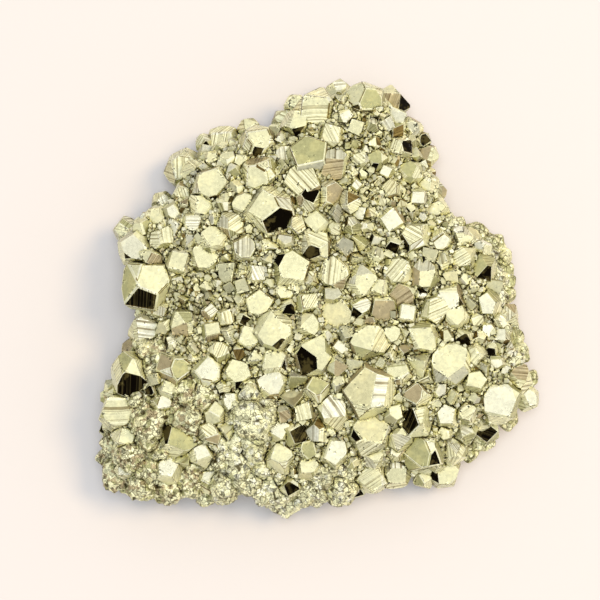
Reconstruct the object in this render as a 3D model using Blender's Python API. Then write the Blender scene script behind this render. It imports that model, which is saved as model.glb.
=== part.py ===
"""Pyrite cluster: a slab of massive pyrite, cut flat below and crusted on top with crystals grown into each other.

One solid. Lengths in the tables are millimetres; the scene is in metres, +Z up. The origin is in the plane of the
flat cut, under the middle of the slab. +Y is the narrow shoulder of the slab, -Y its long straight edge.
"""

import math
import random

import bmesh
import bpy
from mathutils import Matrix, Vector

MM = 0.001
SEED = 101
COLOUR = (0.68, 0.60, 0.30, 1.0)
ROUGHNESS = 0.28

# Plan of the slab at its widest, anticlockwise from the right: x, y.
OUTLINE = (
    (44.2, -19.0), (42.4, -11.0), (39.4, -2.2), (38.0, 5.8), (36.4, 11.4), (31.6, 14.2),
    (26.4, 18.4), (25.6, 23.8), (22.8, 29.0), (19.8, 34.0), (17.6, 39.4), (14.4, 42.6),
    (9.6, 43.0), (4.8, 42.8), (-0.4, 41.4), (-4.6, 38.6), (-8.4, 34.6), (-13.6, 35.0),
    (-18.8, 33.0), (-23.0, 31.0), (-28.0, 27.0), (-28.8, 22.6), (-33.6, 18.2), (-39.2, 15.0),
    (-39.8, 10.2), (-38.0, 6.6), (-39.4, 2.6), (-37.0, -1.4), (-36.6, -7.8), (-39.8, -13.0),
    (-44.0, -21.0), (-44.0, -28.6), (-43.4, -36.2), (-39.6, -39.8), (-33.6, -41.0), (-27.2, -40.6),
    (-23.0, -39.2), (-18.4, -41.0), (-13.2, -39.8), (-6.0, -43.0), (1.2, -41.6), (8.0, -39.4),
    (14.0, -38.2), (22.8, -37.2), (28.0, -36.0), (29.6, -31.0), (37.4, -26.8), (42.0, -22.2),
)

# Section of the massive pyrite: share of the plan's radius, height.
SECTION = (
    (0.86, 0.0), (0.90, 1.6), (0.93, 3.6), (0.94, 5.4), (0.945, 7.0),
    (0.925, 11.4), (0.85, 15.3), (0.67, 18.0), (0.36, 19.6),
)
CROWN = 20.0
SHOULDER = 7.0       # height at which the flank turns in to the top
BROKEN = 1.1         # how far the broken flank wanders in and out
BROKEN_RISE = 0.5    # and up and down

# Broad swells and hollows of the top: x, y, reach, height.
SWELLS = (
    (8.0, 36.0, 13.0, 3.0), (-9.0, 17.0, 11.0, 2.0), (16.0, 24.0, 9.0, -1.6), (-34.0, 4.0, 8.0, 1.6),
    (-26.0, -2.0, 9.0, -1.5), (11.0, -20.0, 10.0, 1.6), (30.0, -15.0, 12.0, 1.4), (-30.0, -34.0, 13.0, -2.0),
)

# The crystals that can be told apart: x, y, radius, then the faces that grew large on each.
# A face is the compass bearing it looks toward (0 along +X, 90 along +Y), its tilt from level, and its
# half-width as a share of the crystal's radius.
CRYSTALS = (
    # shoulder, left
    (-26.2, 26.3, 3.7, ((175, 10, 0.64), (5, 42, 0.50), (-90, 48, 0.45))),
    (-18.6, 31.2, 3.3, ((200, 10, 0.80), (-80, 50, 0.40))),
    (-22.5, 31.4, 1.7, ((-60, 40, 0.50),)),
    (-20.1, 21.1, 3.7, ((140, 9, 0.72), (185, 46, 0.42), (-80, 48, 0.45), (10, 35, 0.40))),
    (-26.0, 20.3, 2.1, ((190, 12, 0.64), (0, 40, 0.50))),
    (-30.7, 19.4, 1.9, ((-20, 6, 0.60),)),
    (-31.2, 15.2, 2.4, ((180, 14, 0.70),)),
    (-28.0, 16.0, 1.9, ((60, 5, 0.60),)),
    (-22.1, 17.1, 2.8, ((20, 8, 0.70), (-90, 42, 0.50))),
    (-24.1, 13.7, 2.4, ((60, 8, 0.70), (-95, 45, 0.40))),
    (-17.4, 17.3, 2.0, ((45, 34, 0.50), (-120, 12, 0.50))),
    (-16.0, 13.0, 2.7, ((0, 14, 0.65), (180, 36, 0.50))),
    (-14.0, 17.1, 2.5, ((160, 8, 0.72),)),
    # shoulder, top
    (-13.3, 34.2, 2.2, ((90, 26, 0.60),)),
    (-11.3, 29.6, 3.7, ((80, 14, 0.62), (-102, 31, 0.42))),
    (-6.2, 35.8, 2.3, ((120, 15, 0.60),)),
    (-3.5, 33.0, 2.8, ((110, 15, 0.60), (-80, 40, 0.36))),
    (0.5, 36.0, 4.3, ((190, 8, 0.72), (40, 38, 0.48), (-48, 42, 0.40))),
    (-4.0, 39.2, 2.0, ((140, 10, 0.60),)),
    (4.7, 41.8, 2.4, ((90, 20, 0.50), (-90, 30, 0.50))),
    (9.7, 37.7, 3.9, ((10, 16, 0.64), (205, 36, 0.42), (70, 44, 0.42))),
    (15.1, 39.6, 3.2, ((190, 10, 0.68), (-10, 52, 0.42))),
    (3.0, 30.4, 2.9, ((95, 12, 0.70),)),
    (-1.0, 26.4, 4.4, ((110, 16, 0.76),)),
    (3.6, 24.8, 3.1, ((80, 28, 0.52), (-80, 14, 0.66))),
    (-6.0, 27.1, 2.2, ((180, 8, 0.80),)),
    (-10.9, 22.7, 3.8, ((200, 12, 0.64), (10, 25, 0.50))),
    (-2.6, 21.5, 3.8, ((110, 12, 0.74), (-60, 45, 0.40))),
    (-8.8, 15.6, 5.0, ((140, 14, 0.54), (-80, 36, 0.62), (35, 38, 0.50), (-15, 50, 0.40))),
    (-1.7, 17.6, 3.1, ((60, 26, 0.50), (200, 34, 0.55))),
    (2.3, 19.4, 3.1, ((-20, 30, 0.64), (-80, 50, 0.40))),
    (-0.1, 13.5, 2.8, ((120, 8, 0.75),)),
    (-4.2, 13.3, 2.4, ((-20, 20, 0.60),)),
    (7.7, 20.9, 1.6, ((0, 10, 0.60),)),
    (11.6, 26.1, 2.1, ((90, 8, 0.64), (-100, 44, 0.50))),
    (13.4, 23.9, 1.9, ((0, 6, 0.60),)),
    (16.0, 29.0, 2.7, ((190, 14, 0.60), (15, 48, 0.50))),
    (19.1, 34.0, 2.4, ((90, 8, 0.50),)),
    (21.4, 31.8, 1.8, ((10, 28, 0.62),)),
    (22.3, 28.9, 2.2, ((150, 12, 0.66),)),
    (18.2, 24.0, 2.6, ((100, 10, 0.60), (-90, 38, 0.50))),
    (21.5, 22.0, 2.2, ((180, 14, 0.70),)),
    (19.8, 19.0, 2.2, ((0, 5, 0.65),)),
    (24.2, 21.5, 1.9, ((-20, 36, 0.70), (100, 40, 0.40))),
    (23.8, 17.0, 2.5, ((120, 10, 0.65),)),
    (8.5, 26.0, 1.9, ((60, 12, 0.60),)),
    (14.7, 20.3, 2.2, ((150, 12, 0.60),)),
    # left edge
    (-38.1, 13.6, 2.3, ((160, 15, 0.60),)),
    (-34.2, 12.9, 2.0, ((10, 30, 0.60),)),
    (-34.8, 9.2, 3.8, ((190, 12, 0.64), (-135, 50, 0.52))),
    (-29.7, 10.4, 2.5, ((60, 25, 0.60),)),
    (-32.1, 7.3, 2.5, ((-45, 28, 0.60),)),
    (-32.7, 1.7, 4.8, ((60, 12, 0.66), (180, 44, 0.50), (-108, 42, 0.52))),
    (-26.6, 6.0, 2.8, ((200, 8, 0.70), (90, 35, 0.45))),
    (-21.6, 6.7, 3.1, ((80, 8, 0.75),)),
    (-19.7, 10.0, 3.0, ((90, 20, 0.70),)),
    (-14.0, 8.4, 3.1, ((90, 8, 0.70),)),
    (-30.5, -2.6, 2.2, ((-90, 25, 0.60),)),
    (-32.9, -7.0, 3.5, ((180, 10, 0.68), (-30, 30, 0.50))),
    (-29.4, -6.7, 2.0, ((45, 20, 0.50),)),
    (-25.6, -6.3, 3.1, ((-110, 25, 0.60), (90, 24, 0.48))),
    (-20.6, -3.8, 2.2, ((80, 6, 0.60),)),
    (-17.5, -5.0, 2.1, ((30, 10, 0.60),)),
    (-20.2, -7.9, 2.6, ((100, 15, 0.60),)),
    (-35.8, -15.8, 3.9, ((140, 40, 0.46), (-80, 36, 0.58), (20, 16, 0.50))),
    (-38.2, -23.2, 3.9, ((165, 9, 0.76), (90, 35, 0.40))),
    (-37.4, -28.2, 2.5, ((45, 7, 0.65),)),
    (-41.3, -26.5, 1.6, ((180, 35, 0.60),)),
    # middle
    (-4.9, 4.6, 4.2, ((0, 6, 0.66), (150, 44, 0.46), (-120, 38, 0.40))),
    (-0.4, 9.0, 3.5, ((70, 20, 0.60), (-110, 32, 0.52))),
    (3.4, 12.4, 2.0, ((-45, 25, 0.60),)),
    (3.5, 3.7, 3.6, ((120, 8, 0.70), (-60, 40, 0.45))),
    (-1.3, 2.5, 2.2, ((180, 20, 0.60),)),
    (8.8, 2.0, 3.4, ((-30, 12, 0.60), (80, 30, 0.52), (180, 30, 0.45))),
    (12.2, 0.5, 2.5, ((130, 12, 0.60), (-50, 35, 0.40))),
    (13.0, -3.2, 2.9, ((-80, 14, 0.75),)),
    (3.7, -4.4, 3.7, ((200, 8, 0.85),)),
    (3.2, -0.7, 2.3, ((100, 14, 0.60),)),
    (8.5, -3.2, 2.5, ((60, 15, 0.60), (-130, 40, 0.50))),
    (-10.9, -2.2, 3.1, ((170, 5, 0.80),)),
    (-11.4, 3.6, 2.2, ((0, 6, 0.70),)),
    (-6.2, -0.1, 2.2, ((60, 10, 0.70),)),
    (-4.3, 1.3, 1.9, ((0, 12, 0.70),)),
    (-5.2, -2.8, 2.0, ((-90, 33, 0.62),)),
    (-1.9, -2.3, 2.8, ((30, 15, 0.66),)),
    (-1.6, -6.3, 2.8, ((-30, 10, 0.55), (130, 25, 0.50))),
    (-8.2, -7.8, 4.3, ((160, 10, 0.62), (20, 16, 0.50), (-62, 28, 0.34))),
    (-13.1, -9.0, 2.7, ((90, 6, 0.75),)),
    (-14.0, -5.1, 1.7, ((-60, 25, 0.65),)),
    (-0.4, -12.6, 4.1, ((75, 24, 0.56), (-148, 30, 0.52), (-20, 28, 0.50))),
    (4.6, -10.9, 1.8, ((0, 5, 0.70),)),
    (10.1, -10.3, 4.0, ((125, 14, 0.60), (0, 24, 0.55))),
    (14.2, -8.5, 2.4, ((40, 12, 0.60),)),
    (-7.9, -13.9, 3.3, ((130, 10, 0.65), (-15, 36, 0.46))),
    (-8.3, -17.7, 3.4, ((170, 7, 0.70), (-30, 12, 0.45))),
    (3.9, -14.3, 2.4, ((-50, 18, 0.50),)),
    (-15.2, -15.8, 2.9, ((90, 6, 0.75), (-80, 46, 0.50))),
    (-20.9, -15.6, 3.4, ((70, 4, 0.70),)),
    (-18.6, -11.7, 2.4, ((90, 10, 0.65),)),
    (-27.4, -15.0, 3.4, ((0, 18, 0.60), (150, 30, 0.50))),
    (-28.8, -18.8, 2.3, ((60, 10, 0.60),)),
    (-29.8, -21.5, 2.3, ((0, 8, 0.60),)),
    # right
    (19.2, 10.6, 3.2, ((100, 10, 0.60), (-50, 20, 0.50), (200, 45, 0.40))),
    (14.9, 9.3, 1.9, ((-90, 36, 0.62),)),
    (14.4, 14.0, 2.8, ((0, 4, 0.65),)),
    (24.5, 9.9, 2.4, ((90, 6, 0.60),)),
    (28.6, 6.9, 2.8, ((180, 8, 0.70),)),
    (32.6, 5.1, 2.8, ((150, 20, 0.60), (-50, 36, 0.50))),
    (15.9, 3.8, 3.2, ((130, 14, 0.70),)),
    (20.9, 3.3, 3.2, ((-60, 10, 0.50), (90, 32, 0.52), (190, 32, 0.50))),
    (16.4, -0.9, 3.2, ((-90, 12, 0.80),)),
    (17.6, -4.3, 2.4, ((45, 4, 0.70),)),
    (22.9, -3.6, 3.2, ((0, 12, 0.66), (170, 25, 0.50))),
    (25.7, -1.4, 3.2, ((-90, 5, 0.62), (90, 28, 0.50), (-10, 42, 0.36))),
    (27.1, -5.1, 2.7, ((90, 10, 0.60),)),
    (28.6, -8.9, 1.9, ((-90, 30, 0.66),)),
    (20.7, -8.9, 3.3, ((150, 10, 0.64),)),
    (25.8, -13.9, 4.2, ((105, 9, 0.76), (-50, 40, 0.60))),
    (30.6, -12.1, 2.4, ((-120, 15, 0.60),)),
    (33.5, -2.3, 2.6, ((150, 7, 0.60),)),
    (38.3, -3.5, 2.3, ((180, 10, 0.60),)),
    (35.0, -13.5, 1.8, ((0, 4, 0.60),)),
    (33.9, -11.2, 1.6, ((-90, 30, 0.60),)),
    (39.6, -16.3, 2.8, ((45, 22, 0.60), (-60, 25, 0.50))),
    (30.5, -17.1, 2.4, ((0, 10, 0.60),)),
    (35.5, -20.5, 4.3, ((-60, 6, 0.74), (85, 22, 0.60), (190, 45, 0.50))),
    (42.2, -20.1, 2.3, ((-20, 10, 0.60),)),
    # long edge
    (0.2, -19.1, 3.1, ((90, 12, 0.60), (-80, 30, 0.50))),
    (3.4, -23.2, 3.4, ((80, 8, 0.68), (-80, 34, 0.60))),
    (10.2, -19.1, 5.0, ((175, 13, 0.68), (-15, 15, 0.62))),
    (15.7, -16.0, 2.8, ((100, 15, 0.60),)),
    (19.3, -20.1, 2.9, ((150, 12, 0.60),)),
    (10.3, -26.8, 4.2, ((70, 7, 0.72), (-150, 40, 0.46), (-10, 42, 0.40))),
    (19.2, -24.7, 3.3, ((-160, 34, 0.62), (20, 14, 0.50))),
    (16.2, -27.9, 2.9, ((50, 20, 0.50), (-80, 22, 0.60))),
    (25.1, -23.8, 2.5, ((0, 5, 0.60),)),
    (29.0, -22.9, 2.3, ((-45, 12, 0.70),)),
    (29.1, -26.9, 2.5, ((60, 15, 0.60),)),
    (33.7, -26.0, 2.8, ((-100, 28, 0.62),)),
    (20.9, -30.4, 4.1, ((180, 20, 0.64), (70, 10, 0.50), (-20, 30, 0.32))),
    (26.8, -30.4, 2.8, ((45, 22, 0.60),)),
    (15.6, -30.6, 1.9, ((0, 6, 0.60),)),
    (15.7, -34.7, 3.1, ((90, 6, 0.50), (-90, 26, 0.70))),
    (11.1, -35.3, 3.4, ((-100, 20, 0.68), (-20, 35, 0.50))),
    (11.1, -31.6, 2.3, ((60, 12, 0.60),)),
    (25.4, -34.5, 3.1, ((-40, 18, 0.65), (-150, 38, 0.40))),
    (21.5, -35.9, 2.1, ((0, 10, 0.60),)),
    (3.5, -30.8, 3.0, ((0, 4, 0.66),)),
    (-7.2, -26.8, 2.6, ((90, 7, 0.70),)),
    (-3.9, -27.4, 2.6, ((0, 20, 0.60),)),
    (-2.1, -29.9, 2.4, ((-30, 22, 0.60),)),
    (-6.4, -23.5, 2.0, ((-60, 20, 0.60),)),
    (-6.6, -31.8, 3.2, ((100, 10, 0.60),)),
    (-1.6, -33.7, 2.5, ((90, 8, 0.60),)),
    (-16.7, -21.2, 2.1, ((0, 5, 0.60),)),
    (-19.6, -23.5, 2.6, ((60, 20, 0.60),)),
    (-20.6, -26.9, 2.5, ((90, 5, 0.60), (-70, 38, 0.50))),
    (-27.2, -28.3, 3.4, ((160, 34, 0.32), (0, 15, 0.60))),
    (-22.5, -31.2, 2.6, ((40, 10, 0.60),)),
    (-29.2, -34.1, 2.8, ((40, 8, 0.55),)),
    (-21.2, -36.1, 2.6, ((-30, 10, 0.60),)),
    (-5.0, -37.4, 2.1, ((-90, 25, 0.62),)),
    (8.1, -38.0, 1.9, ((-90, 30, 0.62),)),
)

# Etched knobs, and the smooth worn ones of the right edge: x, y, radius.
ETCHED = (
    (-11.9, -24.7, 4.4), (-32.2, -26.1, 3.9), (-24.8, -24.4, 3.2), (-39.1, -35.3, 3.2), (-34.6, -37.0, 3.2),
    (-35.9, -31.4, 3.0), (-30.6, -30.6, 2.6), (-29.3, -37.8, 3.2), (-25.0, -36.3, 3.0), (-17.8, -37.2, 3.5),
    (-13.4, -35.9, 3.0), (-9.1, -38.0, 3.4), (-6.0, -40.4, 2.6), (-0.7, -38.2, 3.1), (4.7, -37.4, 3.4),
    (-15.9, -29.1, 2.2), (-18.2, -32.0, 2.4), (-11.8, -31.0, 3.0), (-32.8, -33.9, 2.6), (-41.1, -31.5, 2.2),
    (-25.0, -20.0, 2.8), (-33.0, -11.4, 2.2), (-34.9, -20.8, 2.2), (0.9, -35.5, 2.4), (-21.9, -39.8, 1.8),
)
WORN = (
    (32.0, 12.6, 2.9), (35.6, 11.0, 2.5), (37.8, 8.4, 2.0), (38.2, 5.8, 1.8), (38.6, 3.4, 1.8), (38.2, 1.0, 2.0),
    (39.5, -7.9, 2.3), (40.7, -11.3, 2.3), (28.4, 14.7, 2.2), (42.6, -16.3, 2.0), (38.1, -23.9, 2.4),
    (33.1, -28.5, 2.6), (30.7, -30.9, 2.0), (39.1, -5.9, 1.8),
)

GROWTH = 1.20        # size of every listed crystal against the table; its centre lies at the massive pyrite's top
LARGE = 3.8          # radius from which a crystal has the fuller habits
UNEVEN = 0.04        # how much nearer or farther than its habit's a face may be
MOST_TILT = 35       # steepest top face of a crystal without a listed one

# Small crystals in the gaps between the listed ones.
FILL_TRIES = 2600
FILL_RADIUS = (1.3, 2.5)
FILL_LIMIT = 90
FILL_SPREAD = 0.96       # share of the plan that they may grow on
FILL_CLOSENESS = 0.62    # least distance of two neighbours, as a share of both their radii
FILL_LIFT = 0.25         # height of a small crystal's centre above the massive pyrite, as a share of its radius
FILL_TILT = (4, 30)
FILL_HALF_WIDTH = (0.5, 0.7)

# Crystals on the steep sides.
FLANK_COUNT = 44
FLANK_RADIUS = (2.2, 3.8)
FLANK_HEIGHT = (4.5, 11.5)
FLANK_SHARE = 0.94       # share of the plan's radius that their middles keep within
FLANK_SINK = 0.55        # and how much farther in, as a share of a crystal's radius
FLANK_TURN = 35          # how far a face may look to the side of straight out
FLANK_TILT = (50, 95)
FLANK_HALF_WIDTH = (0.5, 0.75)

WELD = 0.002         # corners closer than this are one
SAW_CUT = 0.06       # taken off below by the saw
FACET_SHARE = 0.62   # share of the facets kept once joined


def plan_radius(x, y):
    """Distance from the origin to the outline, in the direction of x, y."""
    bearing = math.atan2(y, x)
    corners = zip(OUTLINE, OUTLINE[1:] + OUTLINE[:1])
    for (ax, ay), (bx, by) in corners:
        turn = math.remainder(bearing - math.atan2(ay, ax), math.tau)
        span = math.remainder(math.atan2(by, bx) - math.atan2(ay, ax), math.tau)
        if 0.0 <= turn <= span:
            cross = ax * by - ay * bx
            along = (by - ay) * math.cos(bearing) - (bx - ax) * math.sin(bearing)
            return cross / along
    return math.hypot(*OUTLINE[0])    # exactly at the first corner


def swell(x, y):
    """How far the top rises or sinks at x, y by its swells and hollows."""
    return sum(h * math.exp(-((x - cx) ** 2 + (y - cy) ** 2) / reach**2) for cx, cy, reach, h in SWELLS)


def ground(x, y):
    """Height of the massive pyrite's top at x, y."""
    share = math.hypot(x, y) / max(plan_radius(x, y), 1e-6)
    upper = [(0.0, CROWN)] + [row for row in reversed(SECTION) if row[1] >= SHOULDER]
    for (near, high), (far, low) in zip(upper, upper[1:]):
        if share <= far:
            return high + (low - high) * (share - near) / (far - near) + swell(x, y)
    return upper[-1][1]


# --- crystals ---------------------------------------------------------------------------------------------------

def signed(a, b, c):
    """All sign combinations of one direction, as unit vectors."""
    found = {(sa * a, sb * b, sc * c) for sa in (-1, 1) for sb in (-1, 1) for sc in (-1, 1)}
    return [Vector(direction).normalized() for direction in sorted(found)]


CUBE_FACES = signed(1, 0, 0) + signed(0, 1, 0) + signed(0, 0, 1)
OCTAHEDRON_FACES = signed(1, 1, 1)
PYRITOHEDRON_FACES = signed(0, 1, 2) + signed(2, 0, 1) + signed(1, 2, 0)

# Habits: distance of each form's faces from the centre, as a share of the crystal's radius.
LARGE_HABITS = (
    ((CUBE_FACES, 0.74), (OCTAHEDRON_FACES, 0.80)),
    ((PYRITOHEDRON_FACES, 0.80), (OCTAHEDRON_FACES, 0.88)),
    ((PYRITOHEDRON_FACES, 0.81), (CUBE_FACES, 0.86)),
)
SMALL_HABITS = (
    ((PYRITOHEDRON_FACES, 0.80),),
    ((CUBE_FACES, 0.72), (OCTAHEDRON_FACES[4:], 0.80)),
    ((CUBE_FACES, 0.68),),
)


def looking(bearing, tilt):
    """Unit vector of a face that looks toward a bearing and tilts from level by tilt."""
    bearing = math.radians(bearing)
    tilt = math.radians(tilt)
    return Vector((math.sin(tilt) * math.cos(bearing), math.sin(tilt) * math.sin(bearing), math.cos(tilt)))


def cut(bm, point, normal):
    """Takes off what lies beyond a plane and closes the cut with one face."""
    geometry = bm.verts[:] + bm.edges[:] + bm.faces[:]
    result = bmesh.ops.bisect_plane(
        bm, geom=geometry, dist=1e-7, plane_co=point, plane_no=normal, clear_outer=True
    )
    edges = [item for item in result["geom_cut"] if isinstance(item, bmesh.types.BMEdge)]
    if len(edges) > 2:
        bmesh.ops.contextual_create(bm, geom=edges)


def add_crystal(name, centre, radius, faces, rng, collection):
    """A crystal of a seeded habit, turned so that one of its faces looks the way the first listed face does."""
    habit = rng.choice(LARGE_HABITS if radius >= LARGE else SMALL_HABITS)
    first = looking(*faces[0][:2]) if faces else looking(rng.uniform(0, 360), rng.uniform(0, MOST_TILT))
    lattice_face = habit[0][0][0]
    spin = Matrix.Rotation(rng.uniform(0, math.tau), 3, first)
    turn = spin @ lattice_face.rotation_difference(first).to_matrix()

    bm = bmesh.new()
    bmesh.ops.create_cube(bm, size=2.4 * radius * MM)
    bmesh.ops.rotate(bm, verts=bm.verts, matrix=turn)
    for form, distance in habit:
        for direction in form:
            normal = turn @ direction
            reach = distance * radius * MM * rng.uniform(1 - UNEVEN, 1 + UNEVEN)
            cut(bm, normal * reach, normal)
    for bearing, tilt, half_width in faces:
        normal = looking(bearing, tilt)
        cut(bm, normal * radius * MM * math.sqrt(1.0 - half_width**2), normal)
    bmesh.ops.translate(bm, verts=bm.verts, vec=Vector(centre) * MM)
    bmesh.ops.remove_doubles(bm, verts=bm.verts, dist=2e-6)
    bmesh.ops.dissolve_degenerate(bm, edges=bm.edges, dist=1e-6)
    bmesh.ops.recalc_face_normals(bm, faces=bm.faces)
    return to_object(bm, name, collection)


def to_object(bm, name, collection):
    """Puts what was modelled into a new object of the collection."""
    mesh = bpy.data.meshes.new(name)
    bm.to_mesh(mesh)
    bm.free()
    obj = bpy.data.objects.new(name, mesh)
    collection.objects.link(obj)
    return obj


def bake(obj):
    """Replaces an object's mesh by what its modifiers make of it."""
    depsgraph = bpy.context.evaluated_depsgraph_get()
    made = bpy.data.meshes.new_from_object(obj.evaluated_get(depsgraph))
    obj.modifiers.clear()
    obj.data = made


def put_in_order(mesh):
    """Numbers the corners and faces by place, because a union numbers them differently on each run."""
    points = [tuple(vert.co) for vert in mesh.vertices]
    order = sorted(range(len(points)), key=points.__getitem__)
    rank = {old: new for new, old in enumerate(order)}
    faces = []
    for polygon in mesh.polygons:
        corners = [rank[corner] for corner in polygon.vertices]
        start = corners.index(min(corners))
        faces.append(corners[start:] + corners[:start])
    mesh.clear_geometry()
    mesh.from_pydata([points[old] for old in order], [], sorted(faces))
    mesh.update()


def keep_largest(mesh):
    """Keeps the outer skin and drops slivers and the closed hollows between crystals."""
    bm = bmesh.new()
    bm.from_mesh(mesh)
    bmesh.ops.remove_doubles(bm, verts=bm.verts, dist=WELD * MM)
    bmesh.ops.dissolve_degenerate(bm, edges=bm.edges, dist=WELD * MM)
    unseen = set(bm.faces)
    skins = []
    for first in bm.faces:
        if first not in unseen:
            continue
        unseen.remove(first)
        front = [first]
        skin = [first]
        while front:
            for edge in front.pop().edges:
                if len(edge.link_faces) != 2:
                    continue
                for face in edge.link_faces:
                    if face in unseen:
                        unseen.remove(face)
                        skin.append(face)
                        front.append(face)
        skins.append(skin)
    largest = max(skins, key=len)
    hidden = [face for skin in skins if skin is not largest for face in skin]
    bmesh.ops.delete(bm, geom=hidden, context='FACES')
    bm.to_mesh(mesh)
    bm.free()


def add_body(rng, collection):
    """The massive pyrite: the outline drawn up through the section, then roughened."""
    bm = bmesh.new()
    share, height = SECTION[0]
    ring = [bm.verts.new((x * share * MM, y * share * MM, height * MM)) for x, y in OUTLINE]
    top = bm.faces.new(ring)
    for (near, low), (far, high) in zip(SECTION, SECTION[1:]):
        extruded = bmesh.ops.extrude_face_region(bm, geom=[top])["geom"]
        verts = [item for item in extruded if isinstance(item, bmesh.types.BMVert)]
        old, top = top, next(item for item in extruded if isinstance(item, bmesh.types.BMFace))
        bmesh.ops.scale(bm, verts=verts, vec=(far / near, far / near, 1.0))
        bmesh.ops.translate(bm, verts=verts, vec=(0, 0, (high - low) * MM))
        if near != share:
            bm.faces.remove(old)    # only the first face stays, as the base
    crown = bmesh.ops.poke(bm, faces=[top])["verts"]
    bmesh.ops.translate(bm, verts=crown, vec=(0, 0, (CROWN - SECTION[-1][1]) * MM))
    bmesh.ops.triangulate(bm, faces=bm.faces)
    for vert in bm.verts:
        x, y, z = vert.co / MM
        if z > SHOULDER:
            vert.co.z += swell(x, y) * MM
        if 0.0 < z <= SHOULDER:
            vert.co.xy *= 1.0 + rng.uniform(-BROKEN, BROKEN) / math.hypot(x, y)
            vert.co.z += rng.uniform(-BROKEN_RISE, BROKEN_RISE) * MM
    bmesh.ops.recalc_face_normals(bm, faces=bm.faces)
    return to_object(bm, "pyrite_cluster", collection)


# --- placing and joining ----------------------------------------------------------------------------------------

def place_listed(rng, collection):
    """The listed crystals and knobs; returns x, y, radius of each."""
    taken = []
    for number, (x, y, table_radius, faces) in enumerate(CRYSTALS):
        radius = table_radius * GROWTH
        add_crystal(f"crystal_{number:03d}", (x, y, ground(x, y)), radius, faces, rng, collection)
        taken.append((x, y, radius))
    for number, (x, y, radius) in enumerate(ETCHED + WORN):
        add_crystal(f"knob_{number:03d}", (x, y, ground(x, y)), radius, (), rng, collection)
        taken.append((x, y, radius))
    return taken


def place_fill(rng, taken, collection):
    """Small crystals in the gaps between the listed ones."""
    count = 0
    for _ in range(FILL_TRIES):
        bearing = rng.uniform(0.0, math.tau)
        share = math.sqrt(rng.uniform(0.0, FILL_SPREAD))
        reach = share * plan_radius(math.cos(bearing), math.sin(bearing))
        x, y = reach * math.cos(bearing), reach * math.sin(bearing)
        radius = rng.uniform(*FILL_RADIUS)
        if any(math.hypot(x - ox, y - oy) < FILL_CLOSENESS * (radius + other) for ox, oy, other in taken):
            continue
        faces = ((rng.uniform(0, 360), rng.uniform(*FILL_TILT), rng.uniform(*FILL_HALF_WIDTH)),)
        centre = (x, y, ground(x, y) + FILL_LIFT * radius)
        add_crystal(f"fill_{count:03d}", centre, radius, faces, rng, collection)
        taken.append((x, y, radius))
        count += 1
        if count == FILL_LIMIT:
            break


def place_flank(rng, collection):
    """Crystals on the steep sides, half sunk."""
    for number in range(FLANK_COUNT):
        bearing = math.tau * (number + rng.uniform(-0.3, 0.3)) / FLANK_COUNT
        reach = plan_radius(math.cos(bearing), math.sin(bearing))
        radius = rng.uniform(*FLANK_RADIUS)
        height = rng.uniform(*FLANK_HEIGHT)
        inset = reach * FLANK_SHARE - FLANK_SINK * radius
        centre = (inset * math.cos(bearing), inset * math.sin(bearing), height)
        outward = math.degrees(bearing) + rng.uniform(-FLANK_TURN, FLANK_TURN)
        faces = ((outward, rng.uniform(*FLANK_TILT), rng.uniform(*FLANK_HALF_WIDTH)),)
        add_crystal(f"flank_{number:03d}", centre, radius, faces, rng, collection)


def saw_base(mesh):
    """Saws the base flat, then stands it on z = 0 with the plan's bounding box over the origin."""
    bm = bmesh.new()
    bm.from_mesh(mesh)
    cut(bm, (0, 0, SAW_CUT * MM), (0, 0, -1))
    low = Vector([min(vert.co[axis] for vert in bm.verts) for axis in range(3)])
    high = Vector([max(vert.co[axis] for vert in bm.verts) for axis in range(3)])
    middle = (low + high) / 2
    bmesh.ops.translate(bm, verts=bm.verts, vec=(-middle.x, -middle.y, -low.z))
    bmesh.ops.triangulate(bm, faces=bm.faces)
    bm.to_mesh(mesh)
    bm.free()


def pyrite():
    """Bright pyrite: a pale brassy metal, a little dulled."""
    material = bpy.data.materials.new("pyrite")
    material.use_nodes = True
    shader = material.node_tree.nodes["Principled BSDF"]
    shader.inputs["Base Color"].default_value = COLOUR
    shader.inputs["Metallic"].default_value = 1.0
    shader.inputs["Roughness"].default_value = ROUGHNESS
    return material


def main():
    """Grows the cluster: every crystal joined with the massive pyrite, then sawn flat below."""
    for obj in list(bpy.data.objects):
        bpy.data.objects.remove(obj, do_unlink=True)
    scene = bpy.context.scene
    parts = bpy.data.collections.new("pyrite_specimen")
    grown = bpy.data.collections.new("crystals_before_joining")
    scene.collection.children.link(parts)
    scene.collection.children.link(grown)

    rng = random.Random(SEED)
    body = add_body(rng, parts)
    taken = place_listed(rng, grown)
    place_fill(rng, taken, grown)
    place_flank(rng, grown)
    for guide in grown.objects:
        guide.hide_render = True
        guide.display_type = 'WIRE'

    union = body.modifiers.new("grown_together", 'BOOLEAN')
    union.operation = 'UNION'
    union.solver = 'EXACT'
    union.operand_type = 'COLLECTION'
    union.collection = grown
    bake(body)
    put_in_order(body.data)
    keep_largest(body.data)
    simpler = body.modifiers.new("fewer_facets", 'DECIMATE')
    simpler.ratio = FACET_SHARE
    bake(body)
    keep_largest(body.data)
    saw_base(body.data)
    body.data.materials.append(pyrite())


main()
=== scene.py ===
"""Pyrite specimen: a slab of massive pyrite crusted with crystals grown into each other, in full detail.

It works as an add-on: every piece has its own operator, and the sizes and colours a user would change are in
the settings. Lengths in the tables are millimetres; the scene is in metres, +Z up.
"""

import functools
import math
import random

import bmesh
import bpy
import numpy as np
from bpy.props import FloatProperty, FloatVectorProperty, IntProperty
from mathutils import Matrix, Vector, noise


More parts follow.
